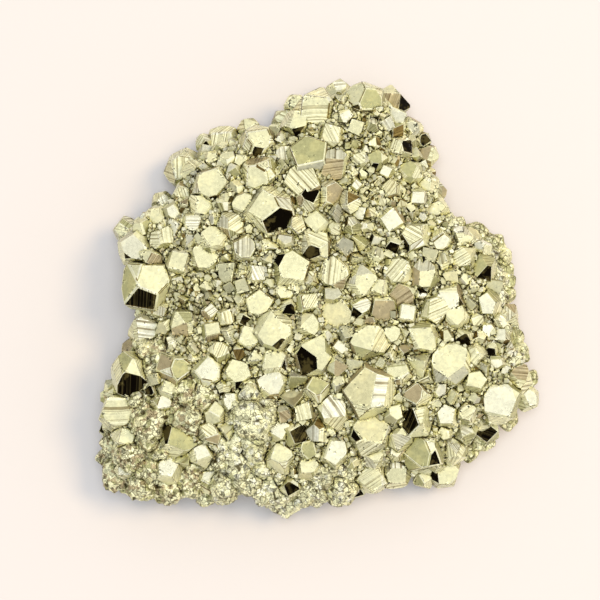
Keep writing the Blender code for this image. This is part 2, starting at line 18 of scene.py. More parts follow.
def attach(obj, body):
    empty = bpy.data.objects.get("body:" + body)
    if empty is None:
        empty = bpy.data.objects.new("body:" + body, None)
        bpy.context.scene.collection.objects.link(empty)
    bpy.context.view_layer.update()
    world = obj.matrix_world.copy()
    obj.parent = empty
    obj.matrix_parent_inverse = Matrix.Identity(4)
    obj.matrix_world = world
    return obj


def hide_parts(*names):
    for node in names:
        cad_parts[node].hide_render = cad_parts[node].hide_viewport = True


bl_info = {
    "name": "Pyrite specimen",
    "version": (1, 0, 0),
    "blender": (4, 5, 0),
    "location": "3D View > Sidebar > Pyrite",
    "description": "Builds a cluster of intergrown pyrite crystals and a plain studio around it",
    "category": "Add Mesh",
}

NODE = "pyrite_cluster"

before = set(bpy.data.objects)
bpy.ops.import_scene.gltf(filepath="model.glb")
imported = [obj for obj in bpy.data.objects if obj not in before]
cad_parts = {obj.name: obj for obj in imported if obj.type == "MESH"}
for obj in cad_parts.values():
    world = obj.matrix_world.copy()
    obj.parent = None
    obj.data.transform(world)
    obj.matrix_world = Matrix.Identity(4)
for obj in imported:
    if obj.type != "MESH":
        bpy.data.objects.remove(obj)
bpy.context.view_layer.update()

MM = 0.001
SEED = 101
PLAN_SHIFT = (-0.76, -0.71)     # puts the plan's middle over the frame's origin

# Large crystals. Radii are shares of the table's, tilts are degrees.
GROWTH = 1.27                   # size of every listed crystal against the table
LIFT = 0.55                     # how far a listed crystal stands higher for each mm that it is smaller than
LIFTED_BELOW = 4.0              # this radius
GIVES_WAY = 0.92                # cosine of the angle within which a listed face takes a habit face's place
DARK_RAISED = 6                 # how much nearer to level the dark faces stand than in the table
DARK_WIDENED = 0.04             # and how much wider they are
STRIATED = 0.9                  # share of the crystals with growth lines on their unlisted faces
STRIATED_FACES = 0.75           # and share of those faces that have them
LINE_SPACING = (0.45, 0.9)      # real lines are five to ten times finer, but those would not show
RULED_UNLISTED = 0.34           # share of the listed faces with growth lines though the table gives none,
RULED_BELOW = 4.8               # on crystals below this radius
RULED_SPACING = (0.5, 1.5)
UNEVEN = (0.94, 1.05)           # how much nearer or farther than its habit's a face is
TURNED = 0.04                   # how far it is turned from the habit's
ROUNDING = (0.04, 0.085)        # width of the rounded edges, as a share of the radius
RIM = 0.5                       # width of a face's frosted rim
FLANKED = 120                   # crystals round the flank
FLANK_RADIUS = (1.5, 3.5)
FLANK_HEIGHT = (3.6, 14.0)
FLANK_SHARE = 0.93              # share of the plan's radius that their middles keep within,
FLANK_SINK = 0.55               # and how much farther in, as a share of a crystal's radius

# Small crystals by size: name, radii, rounding, share with growth lines, frosting.
TIERS = (
    ("small", 1.3, 9.0, 0.035, 0.7, 0.15),
    ("smaller", 0.8, 1.3, 0.03, 0.5, 0.1),
    ("smallest", 0.0, 0.8, 0.0, 0.3, 0.0),
)
CRUST = 1.75                    # thickness of the small crystals and grains on the massive pyrite
FILL_GRID = 0.3                 # spacing of the points where a gap's width is measured
FILL_SHARE = 0.95               # share of the plan's radius that is filled
FILL_OVERLAP = 0.74             # share of a crystal's radius that another one may not enter
FILL_SWELL = 1.75               # a small crystal's radius against its gap's
FILL_SMALLEST = 0.45            # its least radius,
FILL_LARGEST = 2.5              # its greatest one,
FILL_DRUSE = 1.5                # and its greatest one in the druses
DRUSES = ((10.5, 24.4, 7.5), (19.5, 18.4, 8.0), (-21.7, -0.4, 6.5))
FILL_SUNK = (-0.35, 0.25)       # height of its centre in the crust, as a share of its radius
FILL_DRAWN = 1.15               # its size against its place's
SMALL_UNEVEN = (0.84, 1.1)
SMALL_TURNED = 0.09
SMALL_RIM = 0.22                # width of a face's frosted rim, as a share of the radius
SMALL_KINDS = 16                # different small crystals in each tier,
GRAIN_KINDS = 10                # and different grains
GRAIN_RADIUS = (0.36, 0.50)     # least radius of a grain, and how much larger it may be
COARSE_GRAIN = 0.45             # radius from which a grain is one of the coarse ones
GRAIN_HEIGHT = (-0.2, 0.8)      # height of its centre in the crust
GRAIN_CLEAR = 0.52              # how near a grain may come to a crystal, as a share of both radii
GRAINS_ETCHED_AWAY = 0.8        # share of the grains that are gone where the specimen is etched
GRAIN_SHADING = 0.55            # how strong their painted shade in crevices and seams is against the crystals'

# Etched and worn knobs.
CORNER = -19.0                  # left of this the etched knobs are browner
ETCH_REACH = 0.8                # how far past a knob's edge the crystals are etched
ETCHED_SWELL = 1.16             # size of an etched knob against the table
LUMP_SWELL = 1.6                # size of an etched lump against the small crystal that it was
PIT_SHADE = 0.35                # brightness left in a pit

# Massive pyrite.
SPOKES = 260                    # corners round the slab
ROUGH = 1.6                     # how far its broken surface wanders in and out,
ROUGH_FINE = 0.7                # and its finer chips

# Finish of the surfaces, mm where it is a length.
CREVICE = 0.9                   # how far a crevice feels its walls for its painted shade and frost,
ETCHED_CREVICE = 0.5            # and between etched lumps
SEAM = 0.35                     # width of the painted dark shade in the seam where two crystals meet,
SEAM_DARK = 0.90                # and how fully the painted seam shade covers it
FROST_BLOCK = 0.30              # tiny blocks of frosted pyrite; real ones are too fine to show
FROST_TIP = 0.9                 # how far the blocks of a frosted patch tip
FLANK_FROST = 0.10              # how much more readily a steep face frosts over than a level one
RIM_FROST = 0.13                # how readily a rim frosts over
SMALL_FROST = 0.1               # how readily a small crystal does
SMOOTH_RIM = -0.1               # frosting of a rounded edge, which also marks it for smooth shading
METALLIC = 0.70                 # below 1, because the fine frosting scatters some of the light
SHEEN = 0.05                    # hardly any clear gloss over the metal, so that the dark faces stay black

# Studio.
AIM = (-3.9, -1.3, 10.0)        # point that the camera looks at
CAMERA_ELEVATION = 85
CAMERA_DISTANCE = 400.0
SKY_STRENGTH = 1.18

# Plan of the slab at its widest, anticlockwise from the right: x, y.
OUTLINE = (
    (44.2, -19.0), (42.4, -11.0), (39.4, -2.2), (38.0, 5.8), (36.4, 11.4), (31.6, 14.2),
    (26.4, 18.4), (25.6, 23.8), (22.8, 29.0), (19.8, 34.0), (17.6, 39.4), (14.4, 42.6),
    (9.6, 43.0), (4.8, 42.8), (-0.4, 41.4), (-4.6, 38.6), (-8.4, 34.6), (-13.6, 35.0),
    (-18.8, 33.0), (-23.0, 31.0), (-28.0, 27.0), (-28.8, 22.6), (-33.6, 18.2), (-39.2, 15.0),
    (-39.8, 10.2), (-38.0, 6.6), (-39.4, 2.6), (-37.0, -1.4), (-36.6, -7.8), (-39.8, -13.0),
    (-44.0, -21.0), (-44.0, -28.6), (-43.4, -36.2), (-39.6, -39.8), (-33.6, -41.0), (-27.2, -40.6),
    (-23.0, -39.2), (-18.4, -41.0), (-13.2, -39.8), (-6.0, -43.0), (1.2, -41.6), (8.0, -39.4),
    (14.0, -38.2), (22.8, -37.2), (28.0, -36.0), (29.6, -31.0), (37.4, -26.8), (42.0, -22.2),
)

# Section of the massive pyrite: share of the plan's radius, height.
SECTION = (
    (0.86, 0.0), (0.90, 1.6), (0.93, 3.6), (0.94, 5.4), (0.945, 7.0),
    (0.925, 11.4), (0.85, 15.3), (0.67, 18.0), (0.36, 19.6),
)
CROWN = 20.0
SHOULDER = 7.0       # height at which the flank turns in to the top

# Broad swells and hollows of the top: x, y, reach, height.
SWELLS = (
    (8.0, 36.0, 13.0, 3.0), (-9.0, 17.0, 11.0, 2.0), (16.0, 24.0, 9.0, -1.6), (-34.0, 4.0, 8.0, 1.6),
    (-26.0, -2.0, 9.0, -1.5), (11.0, -20.0, 10.0, 1.6), (30.0, -15.0, 12.0, 1.4), (-30.0, -34.0, 13.0, -2.0),
)

# The crystals that can be told apart: x, y, radius, then the faces that grew large on each.
# A face is the compass bearing it looks toward (0 along +X, 90 along +Y), its tilt from level, its
# half-width as a share of the crystal's radius and its look, and, where it is ruled, the bearing and spacing of
# its growth lines.
CRYSTALS = (
    # shoulder, left
    (-26.2, 26.3, 3.7, (175, 10, 0.64, "c", 90, 1.1), (5, 42, 0.5, "g"), (-90, 48, 0.45, "o")),
    (-18.6, 31.2, 3.3, (200, 10, 0.8, "c"), (-80, 50, 0.4, "o")), (-22.5, 31.4, 1.7, (-60, 40, 0.5, "k")),
    (-20.1, 21.1, 3.7, (140, 9, 0.72, "c"), (185, 46, 0.42, "g", 80, 0.5), (-80, 48, 0.45, "k"),
     (10, 35, 0.4, "w")),
    (-26.0, 20.3, 2.1, (190, 12, 0.64, "c"), (0, 40, 0.5, "g")), (-30.7, 19.4, 1.9, (-20, 6, 0.6, "w")),
    (-31.2, 15.2, 2.4, (180, 14, 0.7, "c")), (-28.0, 16.0, 1.9, (60, 5, 0.6, "w")),
    (-22.1, 17.1, 2.8, (20, 8, 0.7, "c"), (-90, 42, 0.5, "g")),
    (-24.1, 13.7, 2.4, (60, 8, 0.7, "w", 0, 0.6), (-95, 45, 0.4, "o")),
    (-17.4, 17.3, 2.0, (45, 34, 0.5, "k"), (-120, 12, 0.5, "w")),
    (-16.0, 13.0, 2.7, (0, 14, 0.65, "c"), (180, 36, 0.5, "g", 90, 0.5)),
    (-14.0, 17.1, 2.5, (160, 8, 0.72, "c")),
    # shoulder, top
    (-13.3, 34.2, 2.2, (90, 26, 0.6, "c")), (-11.3, 29.6, 3.7, (80, 14, 0.62, "c"), (-102, 28, 0.52, "k")),
    (-6.2, 35.8, 2.3, (120, 15, 0.6, "c")), (-3.5, 33.0, 2.9, (110, 15, 0.6, "c"), (-80, 32, 0.5, "k")),
    (0.5, 36.0, 4.3, (190, 8, 0.72, "c", 0, 2.6), (40, 38, 0.48, "w"), (-48, 33, 0.46, "k", -30, 0.5)),
    (-4.0, 39.2, 2.0, (140, 10, 0.6, "c")), (4.7, 41.8, 2.4, (90, 20, 0.5, "w"), (-90, 30, 0.5, "o")),
    (9.7, 37.7, 3.9, (10, 16, 0.64, "o"), (205, 36, 0.42, "k", 60, 0.4), (70, 44, 0.42, "w")),
    (15.1, 39.6, 3.2, (190, 10, 0.68, "t"), (-10, 52, 0.42, "k")), (3.0, 30.4, 2.9, (95, 12, 0.7, "c")),
    (-1.0, 26.4, 4.4, (110, 16, 0.76, "o")),
    (3.6, 24.8, 3.1, (80, 28, 0.52, "g"), (-80, 14, 0.66, "t", 8, 0.6)),
    (-6.0, 27.1, 2.2, (180, 8, 0.8, "w")),
    (-10.9, 22.7, 3.8, (200, 12, 0.64, "c"), (10, 25, 0.5, "c")),
    (-2.6, 21.5, 3.8, (110, 12, 0.74, "c", -50, 0.9), (-60, 45, 0.4, "t")),
    (-8.8, 15.6, 5.0, (150, 13, 0.66, "c"), (-62, 38, 0.64, "k"), (40, 34, 0.58, "g", -42, 1.1),
     (-15, 50, 0.4, "t")),
    (-1.7, 17.6, 3.1, (60, 26, 0.5, "k"), (200, 34, 0.55, "t", 70, 0.5)),
    (2.3, 19.4, 3.1, (-20, 30, 0.64, "t"), (-80, 50, 0.4, "y", 0, 0.4)),
    (-0.1, 13.5, 2.8, (120, 8, 0.75, "c")),
    (-4.2, 13.3, 2.4, (-20, 20, 0.6, "y", 30, 0.5)), (7.7, 20.9, 1.6, (0, 10, 0.6, "w")),
    (11.6, 26.1, 2.1, (90, 8, 0.64, "o"), (-100, 44, 0.5, "k")), (13.4, 23.9, 1.9, (0, 6, 0.6, "w")),
    (16.0, 29.0, 2.7, (190, 14, 0.6, "c", 70, 0.5), (15, 48, 0.5, "k")),
    (19.1, 34.0, 2.4, (90, 8, 0.5, "g")),
    (21.4, 31.8, 1.8, (10, 28, 0.62, "k")), (22.3, 28.9, 2.2, (150, 12, 0.66, "t")),
    (18.2, 24.0, 2.6, (100, 10, 0.6, "o"), (-90, 38, 0.5, "o")), (21.5, 22.0, 2.2, (180, 14, 0.7, "c")),
    (19.8, 19.0, 2.2, (0, 5, 0.65, "w")), (24.2, 21.5, 1.9, (-20, 36, 0.7, "t"), (100, 40, 0.4, "k")),
    (23.8, 17.0, 2.5, (120, 10, 0.65, "c")), (8.5, 26.0, 1.9, (60, 12, 0.6, "c")),
    (14.7, 20.3, 2.2, (150, 12, 0.6, "y")),
    # left edge
    (-38.1, 13.6, 2.3, (160, 15, 0.6, "c")), (-34.2, 12.9, 2.0, (10, 30, 0.6, "o")),
    (-34.8, 9.2, 3.5, (190, 12, 0.64, "w"), (-135, 50, 0.38, "k")), (-29.7, 10.4, 2.5, (60, 25, 0.6, "c")),
    (-32.1, 7.3, 2.5, (-45, 28, 0.6, "t", 60, 0.5)),
    (-32.5, 1.7, 4.6, (60, 12, 0.66, "c"), (180, 44, 0.5, "o"), (-108, 42, 0.56, "k", 80, 0.7)),
    (-26.6, 6.0, 2.8, (200, 8, 0.7, "c"), (90, 35, 0.45, "g", 0, 0.5)),
    (-21.6, 6.7, 3.1, (80, 8, 0.75, "c")),
    (-19.7, 10.0, 3.0, (90, 20, 0.7, "c")), (-14.0, 8.4, 3.1, (90, 8, 0.7, "g", 90, 0.7)),
    (-30.5, -2.6, 2.2, (-90, 25, 0.6, "g")), (-32.9, -7.0, 3.5, (180, 10, 0.68, "w"), (-30, 30, 0.5, "c")),
    (-29.4, -6.7, 2.0, (45, 20, 0.5, "c")),
    (-25.6, -6.3, 3.1, (-110, 25, 0.6, "t"), (90, 24, 0.48, "o", 0, 0.45)),
    (-20.6, -3.8, 2.2, (80, 6, 0.6, "w")), (-17.5, -5.0, 2.1, (30, 10, 0.6, "c")),
    (-20.2, -7.9, 2.6, (100, 15, 0.6, "c")),
    (-35.8, -15.8, 3.9, (140, 40, 0.46, "o"), (-80, 36, 0.58, "k", 90, 1.0), (20, 16, 0.5, "c")),
    (-38.2, -23.2, 3.9, (165, 9, 0.76, "c", 0, 2.8), (90, 35, 0.4, "g")),
    (-37.4, -28.2, 2.5, (45, 7, 0.65, "c")), (-41.3, -26.5, 1.6, (180, 35, 0.6, "k")),
    # middle
    (-4.9, 4.6, 4.2, (0, 6, 0.66, "c"), (150, 44, 0.46, "k"), (-120, 38, 0.4, "y")),
    (-0.4, 9.0, 3.5, (70, 20, 0.6, "c", -25, 0.7), (-110, 32, 0.52, "k")),
    (3.4, 12.4, 2.0, (-45, 25, 0.6, "c", -30, 0.5)),
    (3.5, 3.7, 3.6, (120, 8, 0.7, "c", 85, 1.3), (-60, 40, 0.45, "t", -20, 0.8)),
    (-1.3, 2.5, 2.2, (180, 20, 0.6, "g")),
    (8.8, 2.0, 3.4, (-30, 12, 0.6, "c"), (80, 30, 0.52, "g"), (180, 30, 0.45, "g", 70, 0.6)),
    (12.2, 0.5, 2.5, (130, 12, 0.6, "c"), (-50, 35, 0.4, "t")), (13.0, -3.2, 2.9, (-80, 14, 0.75, "t")),
    (3.7, -4.4, 3.7, (200, 8, 0.85, "y")), (3.2, -0.7, 2.3, (100, 14, 0.6, "g")),
    (8.5, -3.2, 2.5, (60, 15, 0.6, "w", 20, 0.6), (-130, 40, 0.5, "k")),
    (-10.9, -2.2, 3.1, (170, 5, 0.8, "c")),
    (-11.4, 3.6, 2.2, (0, 6, 0.7, "w")), (-6.2, -0.1, 2.2, (60, 10, 0.7, "c")),
    (-4.3, 1.3, 1.9, (0, 12, 0.7, "c")), (-5.2, -2.8, 2.0, (-90, 33, 0.62, "k")),
    (-1.9, -2.3, 2.8, (30, 15, 0.66, "c", 60, 0.6)),
    (-1.6, -6.3, 2.8, (-30, 10, 0.55, "c"), (130, 25, 0.5, "y")),
    (-8.2, -7.8, 4.3, (160, 10, 0.62, "c"), (20, 16, 0.5, "c"), (-62, 28, 0.34, "k", 60, 0.5)),
    (-13.1, -9.0, 2.7, (90, 6, 0.75, "c")), (-14.0, -5.1, 1.7, (-60, 25, 0.65, "k")),
    (-0.4, -12.6, 4.1, (75, 24, 0.56, "c"), (-148, 30, 0.52, "k"), (-20, 28, 0.5, "c")),
    (4.6, -10.9, 1.8, (0, 5, 0.7, "w")),
    (10.1, -10.3, 4.0, (125, 14, 0.6, "c"), (0, 24, 0.55, "y", 55, 0.7)),
    (14.2, -8.5, 2.4, (40, 12, 0.6, "c")),
    (-7.9, -13.9, 3.3, (130, 10, 0.65, "c"), (-15, 36, 0.46, "k", 60, 0.5)),
    (-8.3, -17.7, 3.4, (170, 7, 0.7, "w"), (-30, 12, 0.45, "c")), (3.9, -14.3, 2.4, (-50, 18, 0.5, "t")),
    (-15.2, -15.8, 2.9, (90, 6, 0.75, "c"), (-80, 46, 0.5, "k")), (-20.9, -15.6, 3.4, (70, 4, 0.7, "w")),
    (-18.6, -11.7, 2.4, (90, 10, 0.65, "c", 70, 0.5)),
    (-27.4, -15.0, 3.4, (0, 18, 0.6, "o"), (150, 30, 0.5, "t")), (-28.8, -18.8, 2.3, (60, 10, 0.6, "c")),
    (-29.8, -21.5, 2.3, (0, 8, 0.6, "w")),
    # right
    (19.2, 10.6, 3.2, (100, 10, 0.6, "c", -30, 0.7), (-50, 20, 0.5, "w"), (200, 45, 0.4, "k")),
    (14.9, 9.3, 1.9, (-90, 36, 0.62, "k")), (14.4, 14.0, 2.8, (0, 4, 0.65, "w")),
    (24.5, 9.9, 2.4, (90, 6, 0.6, "w")), (28.6, 6.9, 2.8, (180, 8, 0.7, "c", 30, 0.5)),
    (32.6, 5.1, 2.8, (150, 20, 0.6, "o"), (-50, 36, 0.5, "k")),
    (15.9, 3.8, 3.2, (130, 14, 0.7, "c", 50, 0.7)),
    (20.9, 3.3, 3.2, (-60, 10, 0.5, "c"), (90, 32, 0.52, "g"), (190, 32, 0.5, "t")),
    (16.4, -0.9, 3.2, (-90, 12, 0.8, "t")), (17.6, -4.3, 2.4, (45, 4, 0.7, "w")),
    (22.9, -3.6, 3.2, (0, 12, 0.66, "c"), (170, 25, 0.5, "y")),
    (25.7, -1.4, 3.2, (-90, 5, 0.62, "w"), (90, 28, 0.5, "c", 0, 0.5), (-10, 42, 0.36, "k")),
    (27.1, -5.1, 2.7, (90, 10, 0.6, "c")), (28.6, -8.9, 1.9, (-90, 30, 0.66, "k")),
    (20.7, -8.9, 3.3, (150, 10, 0.64, "c")), (25.8, -13.9, 4.2, (105, 9, 0.76, "c"), (-50, 40, 0.6, "g")),
    (30.6, -12.1, 2.4, (-120, 15, 0.6, "c", 50, 0.5)), (33.5, -2.3, 2.6, (150, 7, 0.6, "w")),
    (38.3, -3.5, 2.3, (180, 10, 0.6, "w", 90, 0.5)), (35.0, -13.5, 1.8, (0, 4, 0.6, "w")),
    (33.9, -11.2, 1.6, (-90, 30, 0.6, "k")),
    (39.6, -16.3, 2.8, (45, 22, 0.6, "t", 0, 0.8), (-60, 25, 0.5, "c")),
    (30.5, -17.1, 2.4, (0, 10, 0.6, "c")),
    (35.5, -20.5, 4.3, (-60, 6, 0.74, "w"), (85, 22, 0.6, "w"), (190, 45, 0.5, "t", 80, 0.6)),
    (42.2, -20.1, 2.3, (-20, 10, 0.6, "w")),
    # long edge
    (0.2, -19.1, 3.1, (90, 12, 0.6, "o"), (-80, 30, 0.5, "t")),
    (3.4, -23.2, 3.4, (80, 8, 0.68, "w"), (-80, 34, 0.6, "y", 60, 0.7)),
    (10.2, -19.1, 5.0, (175, 13, 0.68, "y"), (-15, 15, 0.62, "w", 0, 2.6)),
    (15.7, -16.0, 2.8, (100, 15, 0.6, "c")), (19.3, -20.1, 2.9, (150, 12, 0.6, "t")),
    (10.3, -26.8, 4.2, (70, 7, 0.72, "y"), (-150, 40, 0.46, "k"), (-10, 42, 0.4, "g", 60, 0.5)),
    (19.2, -24.7, 3.3, (-160, 34, 0.62, "k", 60, 0.7), (20, 14, 0.5, "c")),
    (16.2, -27.9, 2.9, (50, 20, 0.5, "c"), (-80, 22, 0.6, "g", -30, 0.5)),
    (25.1, -23.8, 2.5, (0, 5, 0.6, "w")),
    (29.0, -22.9, 2.3, (-45, 12, 0.7, "c")), (29.1, -26.9, 2.5, (60, 15, 0.6, "g")),
    (33.7, -26.0, 2.8, (-100, 28, 0.62, "k", -20, 0.7)),
    (20.9, -30.4, 4.1, (180, 20, 0.64, "o"), (70, 10, 0.5, "w"), (-20, 30, 0.32, "k")),
    (26.8, -30.4, 2.8, (45, 22, 0.6, "g")), (15.6, -30.6, 1.9, (0, 6, 0.6, "w")),
    (15.7, -34.7, 3.1, (90, 6, 0.5, "w"), (-90, 26, 0.7, "c")),
    (11.1, -35.3, 3.4, (-100, 20, 0.68, "c"), (-20, 35, 0.5, "g", 20, 0.5)),
    (11.1, -31.6, 2.3, (60, 12, 0.6, "c")), (25.4, -34.5, 3.1, (-40, 18, 0.65, "c"), (-150, 38, 0.4, "k")),
    (21.5, -35.9, 2.1, (0, 10, 0.6, "c")), (3.5, -30.8, 3.0, (0, 4, 0.66, "w")),
    (-7.2, -26.8, 2.6, (90, 7, 0.7, "w")), (-3.9, -27.4, 2.6, (0, 20, 0.6, "k", 60, 0.5)),
    (-2.1, -29.9, 2.4, (-30, 22, 0.6, "o")), (-6.4, -23.5, 2.0, (-60, 20, 0.6, "t")),
    (-6.6, -31.8, 3.2, (100, 10, 0.6, "c")), (-1.6, -33.7, 2.5, (90, 8, 0.6, "c")),
    (-16.7, -21.2, 2.1, (0, 5, 0.6, "w")), (-19.6, -23.5, 2.6, (60, 20, 0.6, "c")),
    (-20.6, -26.9, 2.5, (90, 5, 0.6, "c"), (-70, 38, 0.5, "t")),
    (-27.2, -28.3, 3.4, (160, 34, 0.32, "k"), (0, 15, 0.6, "o")), (-22.5, -31.2, 2.6, (40, 10, 0.6, "w")),
    (-29.2, -34.1, 2.8, (40, 8, 0.55, "w")), (-21.2, -36.1, 2.6, (-30, 10, 0.6, "w")),
    (-5.0, -37.4, 2.1, (-90, 25, 0.62, "k")), (8.1, -38.0, 1.9, (-90, 30, 0.62, "k")),
)

# Rough, etched knobs, and the smooth worn ones of the right edge: x, y, radius.
ETCHED = (
    (-11.9, -24.7, 4.4), (-32.2, -26.1, 3.9), (-24.8, -24.4, 3.2), (-39.1, -35.3, 3.2), (-34.6, -37.0, 3.2),
    (-35.9, -31.4, 3.0), (-30.6, -30.6, 2.6), (-29.3, -37.8, 3.2), (-25.0, -36.3, 3.0), (-17.8, -37.2, 3.5),
    (-13.4, -35.9, 3.0), (-9.1, -38.0, 3.4), (-6.0, -40.4, 2.6), (-0.7, -38.2, 3.1), (4.7, -37.4, 3.4),
    (-15.9, -29.1, 2.2), (-18.2, -32.0, 2.4), (-11.8, -31.0, 3.0), (-32.8, -33.9, 2.6), (-41.1, -31.5, 2.2),
    (-25.0, -20.0, 2.8), (-33.0, -11.4, 2.2), (-34.9, -20.8, 2.2), (0.9, -35.5, 2.4), (-21.9, -39.8, 1.8),
)
WORN = (
    (32.0, 12.6, 2.9), (35.6, 11.0, 2.5), (37.8, 8.4, 2.0), (38.2, 5.8, 1.8), (38.6, 3.4, 1.8),
    (38.2, 1.0, 2.0),
    (39.5, -7.9, 2.3), (40.7, -11.3, 2.3), (28.4, 14.7, 2.2), (42.6, -16.3, 2.0), (38.1, -23.9, 2.4),
    (33.1, -28.5, 2.6), (30.7, -30.9, 2.0), (39.1, -5.9, 1.8),
)


def plan_radius(x, y):
    """Distance from the origin to the outline, in the direction of x, y."""
    bearing = math.atan2(y, x)
    for (ax, ay), (bx, by) in zip(OUTLINE, OUTLINE[1:] + OUTLINE[:1]):
        turn = math.remainder(bearing - math.atan2(ay, ax), math.tau)
        span = math.remainder(math.atan2(by, bx) - math.atan2(ay, ax), math.tau)
        if 0.0 <= turn <= span:
            along = (by - ay) * math.cos(bearing) - (bx - ax) * math.sin(bearing)
            return (ax * by - ay * bx) / along
    return math.hypot(*OUTLINE[0])


def swell(x, y):
    """How much the broad swells and hollows raise the top at x, y."""
    return sum(h * math.exp(-((x - cx) ** 2 + (y - cy) ** 2) / reach**2) for cx, cy, reach, h in SWELLS)


def ground(x, y):
    """Height of the massive pyrite's top at x, y."""
    share = math.hypot(x, y) / max(plan_radius(x, y), 1e-6)
    upper = [(0.0, CROWN)] + [row for row in reversed(SECTION) if row[1] >= SHOULDER]
    for (near, high), (far, low) in zip(upper, upper[1:]):
        if share <= far:
            return high + (low - high) * (share - near) / (far - near) + swell(x, y)
    return upper[-1][1]


def crust(x, y):
    """Height that the small crystals and grains have grown to between the large ones."""
    return ground(x, y) + CRUST


# --- colours -----------------------------------------------------------------------------------------------

def linear(hex_colour):
    """A colour written as sRGB hex, as the linear numbers a shader takes."""
    channels = [int(hex_colour[place:place + 2], 16) / 255 for place in (1, 3, 5)]
    return tuple(c / 12.92 if c <= 0.04045 else ((c + 0.055) / 1.055) ** 2.4 for c in channels)


# What a face gives back, painted into its colour: fresh or thinly tarnished, and a painted reflection of the
# bright or dark part of the room that it turns to.
LOOKS = {
    "c": linear("#d7d7b0"),     # cream
    "y": linear("#ccc99f"),     # yellow
    "w": linear("#d9dac2"),     # white, a painted glare
    "g": linear("#c2c2a8"),     # grey
    "o": linear("#aaaa7c"),     # olive
    "t": linear("#a69b79"),     # tan
    "b": linear("#66562f"),     # brown
    "k": linear("#0c0803"),     # near black, a painted reflection of a dark part of the room
}
# How often each look comes up where the table gives none: level faces mostly light and steep ones darker, as
# painted light and shade.
LEVEL_LOOKS = "ccccccccccycccccwgo"
STEEP_LOOKS = "ccccccoocyccgctoo"
SMALL_LEVEL_LOOKS = "ccccccwwcwcyccgcwcgot"
SMALL_LOOKS = "ccccccwcwcywwcggootbbk"
# Looks of the rounded edges, mostly white and cream: painted highlights along the edges, with some painted
# shade.
RIM_LOOKS = "ccwwob"
WORN_LOOKS = "ooyc"
TONES = (0.86, 1.08)            # how much darker or lighter than its look a face may be,
SMALL_TONES = (0.62, 1.22)      # and on the small crystals
GLEAM = linear("#453e21")       # painted glint: what a gleaming patch adds to a face
RIDGE_GAIN = (1.25, 1.28, 1.45)  # painted highlight: how much lighter the ridges of the growth lines are
GROOVE_TINT = linear("#908165")  # painted shade: what their grooves leave of a face's colour,
CREVICE_SHADE_TINT = linear("#dfdaac")  # and painted shade deep in a crevice
# Painted shade in the seams where crystals meet.
SEAM_SHADE = (*linear("#2a250a"), 1)
# Brown of the etched pyrite's veins and pits, and its painted shade between lumps.
ETCHED_TARNISH_AND_SHADE = (*linear("#3f340e"), 1)
CHIPS = ((0.46, "#4a4020"), (0.74, "#dedbb0"))
FLOOR_COLOUR = linear("#b5b3b3")
PAPER_ROUGHNESS = 0.9
PAPER_SHEEN = 0.1


# --- mesh collecting ---------------------------------------------------------------------------------------

def new_solid():
    """A bmesh with the layers that every crystal carries."""
    bm = bmesh.new()
    bm.faces.layers.float_color.new("look")
    bm.faces.layers.float_vector.new("across")
    bm.verts.layers.float.new("rim")
    return bm


def layers(bm):
    """A face's look, the direction across its growth lines, and whether a corner lies on a rim."""
    faces = bm.faces.layers
    return faces.float_color["look"], faces.float_vector["across"], bm.verts.layers.float["rim"]


class Pile:
    """Faces of many crystals gathered into one mesh, with a look for every face."""

    def __init__(self):
        self.parts = []
        self.count = 0

    def add(self, points, corners, sides, looks, across, rims):
        """Adds faces, given as rows of corners, to those gathered so far."""
        self.parts.append((points, corners + self.count, sides, looks, across, rims))
        self.count += len(points)

    def add_bmesh(self, bm):
        """Adds a bmesh with a crystal's layers, and frees it."""
        bm.verts.index_update()
        look, across, rim = layers(bm)
        self.add(
            np.array([vert.co[:] for vert in bm.verts]),
            np.array([vert.index for face in bm.faces for vert in face.verts]),
            np.array([len(face.verts) for face in bm.faces]),
            np.array([face[look][:] for face in bm.faces]),
            np.array([face[across][:] for face in bm.faces]),
            np.array([vert[rim] for vert in bm.verts]),
        )
        bm.free()

    def to_object(self, name, material, smooth=False):
        """Makes the gathered faces one object."""
        points, corners, sides, looks, across, rims = (np.concatenate(rows) for rows in zip(*self.parts))
        points[:, :2] += np.array(PLAN_SHIFT) * MM
        looks = looks.astype(np.float32)
        mesh = bpy.data.meshes.new(name)
        mesh.vertices.add(len(points))
        mesh.vertices.foreach_set("co", points.astype(np.float32).ravel())
        mesh.loops.add(len(corners))
        mesh.loops.foreach_set("vertex_index", corners.astype(np.int32))
        mesh.polygons.add(len(sides))
        mesh.polygons.foreach_set("loop_start", (np.cumsum(sides) - sides).astype(np.int32))
        mesh.polygons.foreach_set("loop_total", sides.astype(np.int32))
        mesh.polygons.foreach_set("use_smooth", (looks[:, 3] < 0.0) | smooth)
        mesh.update(calc_edges=True)
        mesh.attributes.new("look", 'FLOAT_COLOR', 'FACE').data.foreach_set("color", looks.ravel())
        ruling = mesh.attributes.new("across", 'FLOAT_VECTOR', 'FACE')
        ruling.data.foreach_set("vector", across.astype(np.float32).ravel())
        mesh.attributes.new("rim", 'FLOAT', 'POINT').data.foreach_set("value", rims.astype(np.float32))
        mesh.materials.append(material)
        obj = bpy.data.objects.new(name, mesh)
        bpy.context.scene.collection.objects.link(obj)
        return obj


